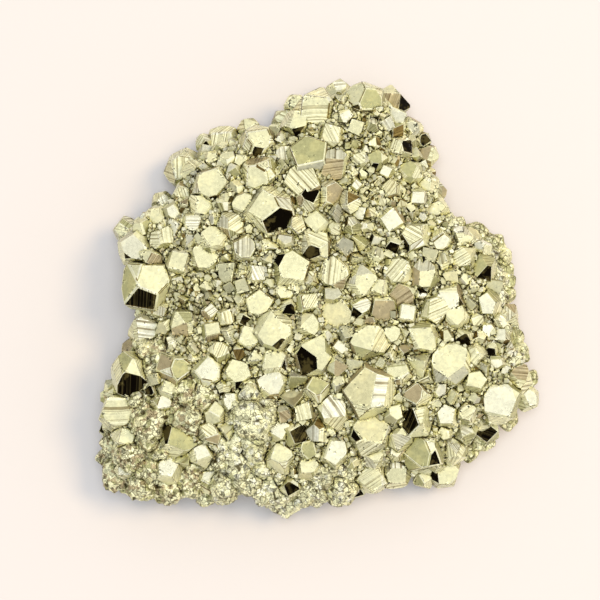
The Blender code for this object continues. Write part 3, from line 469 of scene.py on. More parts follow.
def frame_faces(bm, faces, width):
    """Gives each face a band of the given width inside its edges, for the frosting to grow on."""
    look, across, rim = layers(bm)
    for face in faces:
        corners = face.verts[:]
        middle = face.calc_center_median()
        inner = []
        for corner in corners:
            reach = (middle - corner.co).length
            inward = min(0.6, 1.2 * width / max(reach, 1e-9))
            inner.append(bm.verts.new(corner.co + (middle - corner.co) * inward))
            corner[rim] = 1.0
        finish, ruling = face[look][:], face[across][:]
        made = [bm.faces.new(inner)]
        for place in range(len(corners)):
            following = (place + 1) % len(corners)
            made.append(bm.faces.new((corners[place], corners[following], inner[following], inner[place])))
        for new_face in made:
            new_face[look] = finish
            new_face[across] = ruling
        bm.faces.remove(face)


def settle(obj):
    """The piece moves with the cluster and stands for its solid."""
    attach(obj, "root")
    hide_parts(NODE)
    return obj


# --- crystals ----------------------------------------------------------------------------------------------

def signed(a, b, c):
    """All sign combinations of one direction, as unit vectors."""
    found = {(sa * a, sb * b, sc * c) for sa in (-1, 1) for sb in (-1, 1) for sc in (-1, 1)}
    return [Vector(direction).normalized() for direction in sorted(found)]


CUBE_FACES = signed(1, 0, 0) + signed(0, 1, 0) + signed(0, 0, 1)
OCTAHEDRON_FACES = signed(1, 1, 1)
PYRITOHEDRON_FACES = signed(0, 1, 2) + signed(2, 0, 1) + signed(1, 2, 0)

# Habits of the small and of the large crystals: distance of each form's faces from the centre, as a share of
# the crystal's radius.
SIMPLE_HABITS = (
    ((CUBE_FACES, 0.70),),
    ((PYRITOHEDRON_FACES, 0.78),),
    ((OCTAHEDRON_FACES, 0.66), (CUBE_FACES, 0.86)),
    ((CUBE_FACES, 0.76), (OCTAHEDRON_FACES, 0.86)),
)
HABITS = (
    ((CUBE_FACES, 0.74), (OCTAHEDRON_FACES, 0.80)),
    ((PYRITOHEDRON_FACES, 0.80), (OCTAHEDRON_FACES, 0.88)),
    ((PYRITOHEDRON_FACES, 0.81), (CUBE_FACES, 0.86)),
    ((PYRITOHEDRON_FACES, 0.83), (CUBE_FACES, 0.84), (OCTAHEDRON_FACES, 0.86)),
)


def looking(bearing, tilt):
    """Unit vector of a face that looks toward a bearing and tilts from level by tilt."""
    bearing, tilt = math.radians(bearing), math.radians(tilt)
    return Vector((math.sin(tilt) * math.cos(bearing), math.sin(tilt) * math.sin(bearing), math.cos(tilt)))


def wobbled(direction, spread, rng):
    """A habit face's direction, turned a little, because no real crystal is perfect."""
    return direction + Vector([rng.gauss(0, spread) for _ in range(3)])


def cut(bm, point, normal, look, ruling):
    """Takes off what lies beyond a plane and closes the cut with one face of the given look."""
    geometry = bm.verts[:] + bm.edges[:] + bm.faces[:]
    result = bmesh.ops.bisect_plane(
        bm, geom=geometry, dist=1e-7, plane_co=point, plane_no=normal, clear_outer=True
    )
    edges = [item for item in result["geom_cut"] if isinstance(item, bmesh.types.BMEdge)]
    if len(edges) > 2:
        look_layer, across_layer, _ = layers(bm)
        for face in bmesh.ops.contextual_create(bm, geom=edges)["faces"]:
            face[look_layer] = (*look, 0.0)
            face[across_layer] = ruling


def random_look(rng, normal):
    """A look for a face nobody chose: the steeper, the likelier a darker one, as painted shade."""
    looks = LEVEL_LOOKS if rng.random() < normal.z**2 else STEEP_LOOKS
    return Vector(LOOKS[rng.choice(looks)]) * rng.uniform(*TONES)


def stripe_across(normal, line_bearing, spacing):
    """Direction across the growth lines of a face, as long as there are lines to a metre."""
    across = normal.cross(looking(line_bearing, 90))
    return across.normalized() / (spacing * MM) if across.length > 1e-4 else Vector((0, 0, 0))


def crystal(centre, radius, faces, rng):
    """One crystal of a seeded habit, with its listed faces cut where they are."""
    habit = rng.choice(HABITS)
    first = looking(*faces[0][:2]) if faces else looking(rng.uniform(0, 360), rng.uniform(0, 35))
    spin = Matrix.Rotation(rng.uniform(0, math.tau), 3, first)
    turn = spin @ habit[0][0][0].rotation_difference(first).to_matrix()
    bm = new_solid()
    bmesh.ops.create_cube(bm, size=2.4 * radius * MM)
    bmesh.ops.rotate(bm, verts=bm.verts, matrix=turn)
    striated = rng.random() < STRIATED
    listed = [looking(*face[:2]) for face in faces]
    for form, distance in habit:
        for direction in form:
            normal = (turn @ wobbled(direction, TURNED, rng)).normalized()
            if any(normal.dot(other) > GIVES_WAY for other in listed):
                continue
            reach = distance * radius * MM * rng.uniform(*UNEVEN)
            ruling = Vector((0, 0, 0))
            if striated and rng.random() < STRIATED_FACES:
                ruling = normal.cross(turn @ direction.yzx)
                if ruling.length > 1e-3:
                    ruling = ruling.normalized() / (rng.uniform(*LINE_SPACING) * MM)
            cut(bm, normal * reach, normal, random_look(rng, normal), ruling)
    for bearing, tilt, half_width, look, *ruled in faces:
        if look == "k":
            tilt, half_width = tilt - DARK_RAISED, half_width + DARK_WIDENED
        elif not ruled and radius < RULED_BELOW and rng.random() < RULED_UNLISTED:
            ruled = (rng.uniform(0, 180), rng.uniform(*RULED_SPACING))
        normal = looking(bearing, tilt)
        ruling = stripe_across(normal, *ruled) if ruled else Vector((0, 0, 0))
        cut(bm, normal * radius * MM * math.sqrt(1.0 - half_width**2), normal, LOOKS[look], ruling)
    rounding = rng.uniform(*ROUNDING) * radius * MM
    bmesh.ops.remove_doubles(bm, verts=bm.verts, dist=2e-5)
    rounded = bmesh.ops.bevel(
        bm, geom=bm.edges[:], offset=rounding, segments=3, profile=0.5, affect='EDGES', clamp_overlap=True
    )["faces"]
    look_layer, _, _ = layers(bm)
    # Rounded edges take the rim looks: mostly painted highlights.
    for face in rounded:
        face[look_layer] = (*LOOKS[rng.choice(RIM_LOOKS)], SMOOTH_RIM)
    edges = set(rounded)
    frame_faces(bm, [face for face in bm.faces if face not in edges], RIM * MM * rng.uniform(0.7, 1.3))
    bmesh.ops.translate(bm, verts=bm.verts, vec=Vector(centre) * MM)
    return bm


def knob(centre, radius, rng, etching, looks, fineness=4):
    """A worn or etched lump: a sphere of many small facets, swollen and pitted by noise."""
    bm = new_solid()
    look_layer, _, _ = layers(bm)
    bmesh.ops.create_icosphere(bm, subdivisions=fineness, radius=1.0)
    drift = Vector([rng.uniform(-50, 50) for _ in range(3)])
    tones = [Vector(LOOKS[look]) for look in looks]
    for face in bm.faces:
        place = face.calc_center_median() * radius
        tone = tones[int(noise.cell(place * 1.1 + drift) * 997) % len(tones)]
        worn = 1.0 + 0.25 * noise.noise(place * 2.2 + drift)
        pit = noise.noise(place * 1.5 - drift)
        shade = PIT_SHADE if etching * pit > 0.38 else worn
        face[look_layer] = (*(tone * shade), 0.35 * etching)
    for vert in bm.verts:
        broad = noise.noise(vert.co * 1.3 + drift)
        steps = noise.cell(vert.co * radius * 1.1 + drift)
        fine = noise.turbulence(vert.co * radius * 1.3 + drift, 3, True)
        swollen = 1.0 + 0.40 * broad + etching * (0.07 * (steps - 0.5) + 0.12 * (fine - 0.5))
        vert.co = vert.co * swollen * radius * MM + Vector(centre) * MM
    return bm


def prototype(rng, rounding, framed):
    """Points and faces of one small crystal of radius 1, to be strewn in many sizes."""
    bm = new_solid()
    bmesh.ops.create_cube(bm, size=2.4)
    for form, distance in rng.choice(SIMPLE_HABITS):
        for direction in form:
            normal = wobbled(direction, SMALL_TURNED, rng).normalized()
            cut(bm, normal * distance * rng.uniform(*SMALL_UNEVEN), normal, (0, 0, 0), (0, 0, 0))
    bmesh.ops.remove_doubles(bm, verts=bm.verts, dist=0.02)
    if rounding:
        bmesh.ops.bevel(
            bm, geom=bm.edges[:], offset=rounding, segments=1, affect='EDGES', clamp_overlap=True
        )
    bm.normal_update()
    if framed:
        frame_faces(bm, list(bm.faces), SMALL_RIM)
        bm.normal_update()
    bm.verts.index_update()
    _, _, rim = layers(bm)
    points = np.array([vert.co[:] for vert in bm.verts])
    corners = np.array([vert.index for face in bm.faces for vert in face.verts])
    sides = np.array([len(face.verts) for face in bm.faces])
    normals = np.array([face.normal[:] for face in bm.faces])
    rims = np.array([vert[rim] for vert in bm.verts])
    bm.free()
    _, owners = np.unique(np.round(normals, 3), axis=0, return_inverse=True)
    return points, corners, sides, normals, owners.ravel(), rims


def random_turns(rng, count):
    """Evenly spread random rotations, one 3 by 3 matrix each."""
    q = rng.normal(size=(count, 4))
    w, x, y, z = (q / np.linalg.norm(q, axis=1, keepdims=True)).T
    rows = [
        [1 - 2 * (y * y + z * z), 2 * (x * y - z * w), 2 * (x * z + y * w)],
        [2 * (x * y + z * w), 1 - 2 * (x * x + z * z), 2 * (y * z - x * w)],
        [2 * (x * z - y * w), 2 * (y * z + x * w), 1 - 2 * (x * x + y * y)],
    ]
    return np.array(rows).transpose(2, 0, 1)


def strew(prototypes, seats, rng, striped=0.0):
    """Copies of small crystals at the seats x, y, z, radius, each turned and toned its own way, in a pile."""
    pile = Pile()
    turns = random_turns(rng, len(seats))
    level = np.array([LOOKS[c] for c in SMALL_LEVEL_LOOKS])
    steep = np.array([LOOKS[c] for c in SMALL_LOOKS])
    kinds = rng.integers(0, len(prototypes), len(seats))
    for (x, y, z, radius), turn, kind in zip(seats, turns, kinds):
        points, corners, sides, normals, owners, rims = prototypes[kind]
        count = owners.max() + 1
        up = np.zeros(count)
        up[owners] = (normals @ turn.T)[:, 2]
        # Level faces draw the lighter looks and steep ones the darker: painted light and shade.
        is_level = rng.random(count) < np.clip(up, 0, 1) ** 2
        looks = np.where(
            is_level[:, None],
            level[rng.integers(0, len(level), count)],
            steep[rng.integers(0, len(steep), count)],
        )
        looks = looks * rng.uniform(*SMALL_TONES, (count, 1))
        across = np.zeros((count, 3))
        if rng.random() < striped:
            chosen = rng.random(count) < 0.5
            across[chosen] = turn[:, 0] / (rng.uniform(*LINE_SPACING) * MM)
        placed = (points @ turn.T) * radius * MM + np.array((x, y, z)) * MM
        finish = np.concatenate((looks, np.full((count, 1), SMALL_FROST)), axis=1)
        pile.add(placed, corners, sides, finish[owners], across[owners], rims)
    return pile


def plan_points(rng, tries, spread=0.82):
    """Seeded points over the plan: x, y."""
    for _ in range(tries):
        bearing = rng.uniform(0.0, math.tau)
        reach = math.sqrt(rng.uniform(0.0, spread)) * plan_radius(math.cos(bearing), math.sin(bearing))
        yield reach * math.cos(bearing), reach * math.sin(bearing)


class Crowd:
    """Circles in the plan, on a grid so that near ones are found fast."""

    CELL = 6.0

    def __init__(self):
        self.cells = {}

    def near(self, x, y):
        """The circles in the cells about x, y."""
        column, row = int(x // self.CELL), int(y // self.CELL)
        for c in (column - 1, column, column + 1):
            for r in (row - 1, row, row + 1):
                yield from self.cells.get((c, r), ())

    def fits(self, x, y, radius, overlap):
        """Whether a circle stays clear of the others but for the overlap."""
        return all(
            math.hypot(x - ox, y - oy) >= overlap * (radius + other) for ox, oy, other in self.near(x, y)
        )

    def add(self, x, y, radius):
        """Takes the circle into the crowd."""
        self.cells.setdefault((int(x // self.CELL), int(y // self.CELL)), []).append((x, y, radius))


def largest_here(x, y):
    """Largest radius of a small crystal at x, y: less in the druses."""
    in_druse = any(math.hypot(x - cx, y - cy) < reach for cx, cy, reach in DRUSES)
    return FILL_DRUSE if in_druse else FILL_LARGEST


def is_etched(x, y):
    """Whether the etched knobs reach x, y, so that no sharp crystal is left there."""
    return any(math.hypot(x - cx, y - cy) < radius + ETCH_REACH for cx, cy, radius in ETCHED + WORN)


def etched_looks(x):
    """Looks of an etched knob's facets: browner in the left corner."""
    return "ctcoyccotc" if x < CORNER else "cccwccwcyc"


@functools.cache
def gap_circles():
    """Circles x, y, radius that fill what the listed crystals leave open, the widest gap first."""
    steps = np.arange(-48.0, 48.0, FILL_GRID)
    across, along = np.meshgrid(steps, steps, indexing="ij")
    inside = np.array([
        [math.hypot(x, y) <= FILL_SHARE * plan_radius(x, y) for y in steps] for x in steps
    ])
    open_by = np.where(inside, 99.0, -99.0)

    def take(x, y, radius):
        np.minimum(open_by, np.hypot(across - x, along - y) - FILL_OVERLAP * radius, out=open_by)

    for x, y, radius, *_ in CRYSTALS:
        take(x, y, radius * GROWTH)
    for x, y, radius in ETCHED + WORN:
        take(x, y, radius)
    drawn = np.random.default_rng(SEED + 1)
    luck = drawn.uniform(0.75, 1.25, open_by.shape)
    circles = []
    while True:
        column, row = np.unravel_index(np.argmax(open_by * luck), open_by.shape)
        gap = open_by[column, row]
        if gap * luck[column, row] < FILL_SMALLEST:
            return circles
        x = across[column, row] + drawn.uniform(-0.4, 0.4) * FILL_GRID
        y = along[column, row] + drawn.uniform(-0.4, 0.4) * FILL_GRID
        radius = max(min(gap * FILL_SWELL, largest_here(x, y) * drawn.uniform(0.6, 1.0)), FILL_SMALLEST)
        circles.append((x, y, radius))
        take(x, y, radius)


# --- materials ---------------------------------------------------------------------------------------------

def fill(tree, made, inputs):
    """Gives a node's inputs their numbers, colours or links, by name or number or else in order."""
    for key, value in inputs.items() if isinstance(inputs, dict) else enumerate(inputs):
        if isinstance(value, bpy.types.NodeSocket):
            tree.links.new(value, made.inputs[key])
        else:
            made.inputs[key].default_value = value


def node(tree, kind, inputs=(), output=0, **settings):
    """Adds a shader node with its settings and inputs, and returns one of its outputs.

    In order, a map range takes the value, the two ends it comes from and the two ends it goes to.
    """
    made = tree.nodes.new("ShaderNode" + kind)
    for name, value in settings.items():
        setattr(made, name, value)
    fill(tree, made, inputs)
    return made.outputs[output]


def per_metre(width):
    """Scale of a pattern whose marks are width mm wide."""
    return 1.0 / (width * MM)


def start_material(name):
    """An empty metallic material, its node tree and its shader."""
    material = bpy.data.materials.new(name)
    material.use_nodes = True
    shader = material.node_tree.nodes["Principled BSDF"]
    fill(material.node_tree, shader, {"Metallic": METALLIC})
    return material, material.node_tree, shader


def crystal_material(name, line_strength, frosting, shading=1.0):
    """Grown crystal faces of pyrite.

    They grew in hot water and were never worked. So they give the eye bright pale brass, each face with its
    own tone, ruled with growth lines and frosted where tiny later crystals sit on it. Much of the light and
    shade
    is painted into the colour: in the faces' tones, the glints, the growth lines, the crevices and the seams.
    """
    material, tree, shader = start_material(name)
    place = node(tree, 'TexCoord', output="Object")
    look = node(tree, 'Attribute', output="Color", attribute_name="look")
    across = node(tree, 'Attribute', output="Vector", attribute_name="across")

    # Growth lines: noise that varies only across the lines, so that it draws uneven parallel bands.
    waver = node(tree, 'TexNoise', {"Vector": place, "Scale": per_metre(6.25), "Detail": 1.0})
    row = node(tree, 'VectorMath', (place, across), "Value", operation='DOT_PRODUCT')
    wavered = node(tree, 'Math', (waver, 0.5, row), operation='MULTIPLY_ADD')
    there = node(tree, 'VectorMath', (across,), "Value", operation='LENGTH')
    lined = node(tree, 'Math', (there, 1.0), operation='GREATER_THAN')
    bands = node(
        tree, 'TexNoise', {"W": wavered, "Scale": 1.5, "Detail": 3.0, "Roughness": 0.85},
        noise_dimensions='1D',
    )
    fade = node(tree, 'TexNoise', {"Vector": place, "Scale": per_metre(4.17), "Detail": 2.0})
    strength = node(tree, 'MapRange', (fade, 0.36, 0.56, 0.55, 1.0))
    held = node(tree, 'Math', (strength, lined), operation='MULTIPLY')
    low = node(tree, 'MapRange', (bands, 0.54, 0.58, 0.0, line_strength))
    high = node(tree, 'MapRange', (bands, 0.46, 0.42, 0.0, 0.8))
    groove = node(tree, 'Math', (low, held), operation='MULTIPLY')
    ridge = node(tree, 'Math', (high, held), operation='MULTIPLY')

    # Face colour: its own tone, clouded, with a painted highlight on the ridges of the lines, painted brown
    # shade in their grooves and painted olive glints. The pits are drawn much coarser than real growth pits,
    # which would not show.
    cloud = node(
        tree, 'TexNoise', {"Vector": place, "Scale": per_metre(3.333), "Detail": 4.0, "Roughness": 0.65}
    )
    pits = node(
        tree, 'TexNoise', {"Vector": place, "Scale": per_metre(0.6667), "Detail": 3.0, "Roughness": 0.7}
    )
    shade = node(tree, 'MapRange', (cloud, 0.3, 0.7, 0.93, 1.08))
    mottle = node(tree, 'MapRange', (pits, 0.38, 0.66, 1.08, 0.86))
    uneven = node(tree, 'Math', (shade, mottle), operation='MULTIPLY')
    clouded = node(tree, 'VectorMath', {0: look, "Scale": uneven}, operation='SCALE')
    # Painted glints: olive patches added where the cloud is high and on the ridges of the lines, showing most
    # on dark faces.
    glint = node(tree, 'MapRange', (cloud, 0.50, 0.58, 0.0, 1.0))
    ridge_glint = node(tree, 'Math', (ridge, glint, glint), operation='MULTIPLY_ADD')
    gleams = node(tree, 'Math', (ridge_glint, ridge), operation='MAXIMUM')
    gleam = node(tree, 'VectorMath', {0: GLEAM, "Scale": gleams}, operation='SCALE')
    toned = node(tree, 'VectorMath', (clouded, gleam), operation='ADD')
    pale = node(tree, 'VectorMath', (toned, RIDGE_GAIN), operation='MULTIPLY')
    brown = node(tree, 'VectorMath', (toned, GROOVE_TINT), operation='MULTIPLY')
    ridged = node(tree, 'Mix', {0: ridge, 6: toned, 7: pale}, 2, data_type='RGBA')
    ruled = node(tree, 'Mix', {0: groove, 6: ridged, 7: brown}, 2, data_type='RGBA')

    # Frosting: patches, rims and crevices, built of tiny blocks, each tipped and toned its own way.
    open_sky = node(tree, 'AmbientOcclusion', {"Distance": CREVICE * MM}, "AO", samples=6)
    closed = node(tree, 'Math', (1.0, open_sky), operation='SUBTRACT')
    block = node(tree, 'TexVoronoi', {"Vector": place, "Scale": per_metre(FROST_BLOCK)}, "Color")
    patches = node(
        tree, 'TexNoise', {"Vector": place, "Scale": per_metre(2.381), "Detail": 3.0, "Roughness": 0.7}
    )
    edge = node(tree, 'Attribute', output="Fac", attribute_name="rim")
    given = node(tree, 'Math', (look.node.outputs["Alpha"], 0.40, patches), operation='MULTIPLY_ADD')
    rimmed = node(tree, 'Math', (edge, RIM_FROST, given), operation='MULTIPLY_ADD')
    facing = node(tree, 'NewGeometry', output="True Normal")
    upward = node(tree, 'SeparateXYZ', (facing,), "Z")
    flank = node(tree, 'Math', (upward, -FLANK_FROST, rimmed), operation='MULTIPLY_ADD')
    likely = node(tree, 'Math', (closed, 0.45, flank), operation='MULTIPLY_ADD')
    least = 0.70 - FLANK_FROST - 0.35 * frosting
    frost = node(tree, 'MapRange', (likely, least, least + 0.06, 0.0, 1.0))
    block_tone = node(tree, 'SeparateColor', (block,))
    block_shade = node(tree, 'MapRange', (block_tone, 0.05, 0.50, 0.08, 1.40))
    crumbs = node(tree, 'VectorMath', {0: ruled, "Scale": block_shade}, operation='SCALE')
    frosted = node(tree, 'Mix', {0: frost, 6: ruled, 7: crumbs}, 2, data_type='RGBA')

    # Painted shade: olive low between the crystals, where the wide occlusion finds them closed in, and dark
    # brown in the seams where they meet.
    deep = node(tree, 'VectorMath', (frosted, CREVICE_SHADE_TINT), operation='MULTIPLY')
    depth = node(tree, 'MapRange', (closed, 0.04, 0.45, 0.0, shading))
    sunk = node(tree, 'Mix', {0: depth, 6: frosted, 7: deep}, 2, data_type='RGBA')
    # Painted shade: a short occlusion finds where two crystals touch and darkens the seam.
    near_sky = node(tree, 'AmbientOcclusion', {"Distance": SEAM * MM}, "AO", samples=6)
    pinched = node(tree, 'Math', (1.0, near_sky), operation='SUBTRACT')
    crumbled = node(tree, 'Math', (block_tone, -0.35, pinched), operation='MULTIPLY_ADD')
    seam = node(tree, 'MapRange', (crumbled, 0.03, 0.14, 0.0, SEAM_DARK * shading))
    colour = node(tree, 'Mix', {0: seam, 6: sunk, 7: SEAM_SHADE}, 2, data_type='RGBA')

    # Relief: the growth lines, the fine pitting, then the tipped blocks.
    lined_height = node(tree, 'Math', (bands, lined), operation='MULTIPLY')
    stepped = node(tree, 'Bump', {"Strength": 0.6, "Distance": 0.12 * MM, "Height": lined_height})
    pitted = node(tree, 'Bump', {"Strength": 0.2, "Distance": 0.05 * MM, "Height": pits, "Normal": stepped})
    tipped = node(tree, 'VectorMath', (block, (0.5, 0.5, 0.5)), operation='SUBTRACT')
    tip = node(tree, 'Math', (frost, FROST_TIP), operation='MULTIPLY')
    push = node(tree, 'VectorMath', {0: tipped, "Scale": tip}, operation='SCALE')
    pushed = node(tree, 'VectorMath', (pitted, push), operation='ADD')
    normal = node(tree, 'VectorMath', (pushed,), operation='NORMALIZE')
    gloss = node(tree, 'MapRange', (cloud, 0.3, 0.7, 0.22, 0.40))
    fill(tree, shader, {
        "Base Color": colour, "Roughness": gloss, "Normal": normal, "Specular IOR Level": SHEEN,
    })
    return material


def etched_material(name, pitting):
    """Pyrite that water has etched or worn.

    It gives the eye rounded grains with brown outlines, thin veins and dark pits, so that it reads as worn
    rock. Its grains and specks are drawn coarser than real ones, which would not show.
    """
    material, tree, shader = start_material(name)
    place = node(tree, 'TexCoord', output="Object")
    look = node(tree, 'Attribute', output="Color", attribute_name="look")

    # Grains about a millimetre wide, each with its own shade, on wavering outlines.
    warp = node(tree, 'TexNoise', {"Vector": place, "Scale": per_metre(2.0), "Detail": 3.0}, "Color")
    bent = node(tree, 'VectorMath', (warp, (1.1 * MM,) * 3, place), operation='MULTIPLY_ADD')
    outline = node(
        tree, 'TexVoronoi', {"Vector": bent, "Scale": per_metre(1.0)}, "Distance", feature='DISTANCE_TO_EDGE'
    )
    cells = node(tree, 'TexVoronoi', {"Vector": bent, "Scale": per_metre(1.0)}, "Color")
    cell_tone = node(tree, 'SeparateColor', (cells,))
    cell_shade = node(tree, 'MapRange', (cell_tone, 0.0, 0.6, 0.74, 1.26))
    speck = node(
        tree, 'TexNoise', {"Vector": place, "Scale": per_metre(0.3846), "Detail": 2.0, "Roughness": 0.7}
    )
    speck_shade = node(tree, 'MapRange', (speck, 0.34, 0.62, 0.64, 1.30))
    shade = node(tree, 'Math', (cell_shade, speck_shade), operation='MULTIPLY')
    toned = node(tree, 'VectorMath', {0: look, "Scale": shade}, operation='SCALE')

    # Brown where a vein runs and in the pits, and painted shade in the seams between lumps.
    broken = node(tree, 'TexNoise', {"Vector": place, "Scale": per_metre(2.632), "Detail": 2.0})
    wide = node(tree, 'Math', (broken, 0.30, -0.105), operation='MULTIPLY_ADD')
    vein = node(tree, 'Math', (outline, wide), operation='LESS_THAN')
    open_sky = node(tree, 'AmbientOcclusion', {"Distance": ETCHED_CREVICE * MM}, "AO", samples=6)
    seam = node(tree, 'MapRange', (open_sky, 0.68, 0.38, 0.0, 1.0))
    pits = node(tree, 'TexNoise', {"Vector": place, "Scale": per_metre(2.381), "Detail": 3.0})
    pit = node(tree, 'MapRange', (pits, 0.64, 0.67, 0.0, pitting))
    marked = node(tree, 'Math', (vein, 0.75), operation='MULTIPLY')
    darker = node(tree, 'Math', (seam, pit), operation='MAXIMUM')
    share = node(tree, 'Math', (marked, darker), operation='MAXIMUM')
    colour = node(tree, 'Mix', {0: share, 6: toned, 7: ETCHED_TARNISH_AND_SHADE}, 2, data_type='RGBA')

    relief = node(tree, 'Bump', {"Strength": 0.4, "Distance": 0.2 * MM, "Height": outline})
    rough = node(tree, 'Bump', {"Strength": 0.35, "Distance": 0.1 * MM, "Height": speck, "Normal": relief})
    fill(tree, shader, {
        "Base Color": colour, "Normal": rough, "Specular IOR Level": SHEEN, "Roughness": 0.38,
    })
    return material


def massive_material():
    """Massive pyrite, broken: granular chips, duller than the crystals, some brown and some pale."""
    material, tree, shader = start_material("massive pyrite, broken")
    place = node(tree, 'TexCoord', output="Object")
    chips = node(tree, 'TexVoronoi', {"Vector": place, "Scale": per_metre(0.7143)}, "Color")
    cloud = node(
        tree, 'TexNoise', {"Vector": place, "Scale": per_metre(2.857), "Detail": 6.0, "Roughness": 0.7}
    )
    chip = node(tree, 'SeparateColor', (chips,))
    mixed = node(tree, 'Math', (chip, 0.30, cloud), operation='MULTIPLY_ADD')
    colour = node(tree, 'ValToRGB', (mixed,))
    for stop, (position, tone) in zip(colour.node.color_ramp.elements, CHIPS):
        stop.position, stop.color = position, (*linear(tone), 1)
    bulge = chips.node.outputs["Distance"]
    relief = node(tree, 'Bump', {"Strength": 0.9, "Distance": 0.4 * MM, "Height": bulge})
    fill(tree, shader, {"Base Color": colour, "Normal": relief, "Roughness": 0.42})
    return material


# --- settings and operators --------------------------------------------------------------------------------

class PyriteSettings(bpy.types.PropertyGroup):
    grains: IntProperty(
        name="Grains", description="Tries at placing the fine grains", subtype='UNSIGNED',
        default=26000, min=0, soft_max=60000,
    )
    floor_colour: FloatVectorProperty(
        name="Floor", description="Colour of the studio floor", subtype='COLOR', size=3, min=0, max=1,
        default=FLOOR_COLOUR,
    )
    key_power: FloatProperty(
        name="Key light", description="Strength of the soft key light", subtype='POWER', unit='POWER',
        default=23.0, min=0.0,
    )
    top_power: FloatProperty(
        name="Top light", description="Strength of the soft light overhead", subtype='POWER', unit='POWER',
        default=20.0, min=0.0,
    )


class PYRITE_OT_massive(bpy.types.Operator):
    """Build the slab of massive pyrite that everything grew on"""

    bl_idname = "pyrite.massive"
    bl_label = "Massive pyrite"

    def section_rows(self):
        """The slab's section in fine steps, base to crown: share of the plan's radius, height."""
        rows = []
        for (near, low), (far, high) in zip(SECTION, SECTION[1:] + ((0.0, CROWN),)):
            steps = 6 if high <= SHOULDER else 10 if high == CROWN else 12
            rows += [
                (near + (far - near) * step / steps, low + (high - low) * step / steps)
                for step in range(steps)
            ]
        return rows

    def execute(self, context):
        rows = self.section_rows()
        bm = new_solid()
        bmesh.ops.create_grid(bm, x_segments=SPOKES, y_segments=len(rows) - 1, size=1.0)
        bm.verts.ensure_lookup_table()
        for index, vert in enumerate(bm.verts):
            row, column = divmod(index, SPOKES + 1)
            share, height = rows[row]
            bearing = math.tau * column / SPOKES
            reach = share * plan_radius(math.cos(bearing), math.sin(bearing))
            x, y = reach * math.cos(bearing), reach * math.sin(bearing)
            z = height + (swell(x, y) if height > SHOULDER else 0.0)
            z += CRUST * 0.8 * min(max((height - SHOULDER) / 4.0, 0.0), 1.0)
            here = Vector((x, y, z))
            if row:
                rough = noise.turbulence(here * 0.22, 4, False) - 0.5
                fine = noise.turbulence(here * 0.9, 3, False) - 0.5
                out = Vector((x, y, 0)).normalized() if height <= SHOULDER + 4 else Vector((0, 0, 1))
                here += out * (ROUGH * rough + ROUGH_FINE * fine)
            vert.co = here * MM
        bmesh.ops.remove_doubles(bm, verts=bm.verts, dist=1e-6)
        bmesh.ops.holes_fill(bm, edges=[edge for edge in bm.edges if edge.is_boundary])
        bmesh.ops.recalc_face_normals(bm, faces=bm.faces)
        pile = Pile()
        pile.add_bmesh(bm)
        settle(pile.to_object("massive_pyrite", massive_material()))
        return {'FINISHED'}


class PYRITE_OT_listed(bpy.types.Operator):
    """Build the crystals that can be told apart, each with its own faces, and those of the flank"""

    bl_idname = "pyrite.listed"
    bl_label = "Large crystals"

    def execute(self, context):
        rng = random.Random(SEED)
        top, flank = Pile(), Pile()
        for x, y, radius, *faces in CRYSTALS:
            lift = LIFT * max(0.0, LIFTED_BELOW - radius)
            top.add_bmesh(crystal((x, y, ground(x, y) + lift), radius * GROWTH, faces, rng))
        for number in range(FLANKED):
            bearing = math.tau * (number + rng.uniform(-0.3, 0.3)) / FLANKED
            reach = plan_radius(math.cos(bearing), math.sin(bearing))
            radius = rng.uniform(*FLANK_RADIUS)
            inset = reach * FLANK_SHARE - FLANK_SINK * radius
            centre = (inset * math.cos(bearing), inset * math.sin(bearing), rng.uniform(*FLANK_HEIGHT))
            flank.add_bmesh(crystal(centre, radius, (), rng))
        grown = crystal_material("pyrite crystal, grown faces", 0.8, 0.2)
        settle(top.to_object("large_crystals", grown))
        settle(flank.to_object("flank_crystals", grown))
        return {'FINISHED'}


class PYRITE_OT_knobs(bpy.types.Operator):
    """Build the etched knobs of the front edge and the worn ones of the right edge"""

    bl_idname = "pyrite.knobs"
    bl_label = "Etched and worn knobs"

    def execute(self, context):
        rng = random.Random(SEED + 3)
        etched, worn, lumps = Pile(), Pile(), Pile()
        for x, y, radius in ETCHED:
            centre = (x, y, ground(x, y) + 0.2 * radius)
            etched.add_bmesh(knob(centre, ETCHED_SWELL * radius, rng, 1.0, etched_looks(x)))
        for x, y, radius in WORN:
            worn.add_bmesh(knob((x, y, ground(x, y) - 0.4), radius, rng, 0.12, WORN_LOOKS))
        for x, y, radius in gap_circles():
            if is_etched(x, y):
                size = LUMP_SWELL * radius
                centre = (x, y, crust(x, y) - 0.45 * size)
                lumps.add_bmesh(knob(centre, size, rng, 1.0, etched_looks(x), fineness=3))
        etched_look = etched_material("pyrite, etched", 0.9)
        settle(etched.to_object("etched_knobs", etched_look, smooth=True))
        settle(lumps.to_object("etched_lumps", etched_look, smooth=True))
        settle(worn.to_object("worn_knobs", etched_material("pyrite, worn smooth", 0.4), smooth=True))
        return {'FINISHED'}


class PYRITE_OT_small(bpy.types.Operator):
    """Build the smaller crystals between the large ones"""

    bl_idname = "pyrite.small"
    bl_label = "Small crystals"

    def execute(self, context):
        rng = random.Random(SEED + 1)
        drawn = np.random.default_rng(SEED + 1)
        sharp = [circle for circle in gap_circles() if not is_etched(*circle[:2])]
        for name, least, most, rounding, striped, frosting in TIERS:
            kinds = [prototype(rng, rounding, name != "smallest") for _ in range(SMALL_KINDS)]
            seats = [
                (x, y, crust(x, y) + rng.uniform(*FILL_SUNK) * radius, radius * FILL_DRAWN)
                for x, y, radius in sharp if least <= radius < most
            ]
            pile = strew(kinds, seats, drawn, striped)
            material = crystal_material(f"pyrite crystal, {name}", 0.7, frosting)
            settle(pile.to_object(f"{name}_crystals", material))
        return {'FINISHED'}


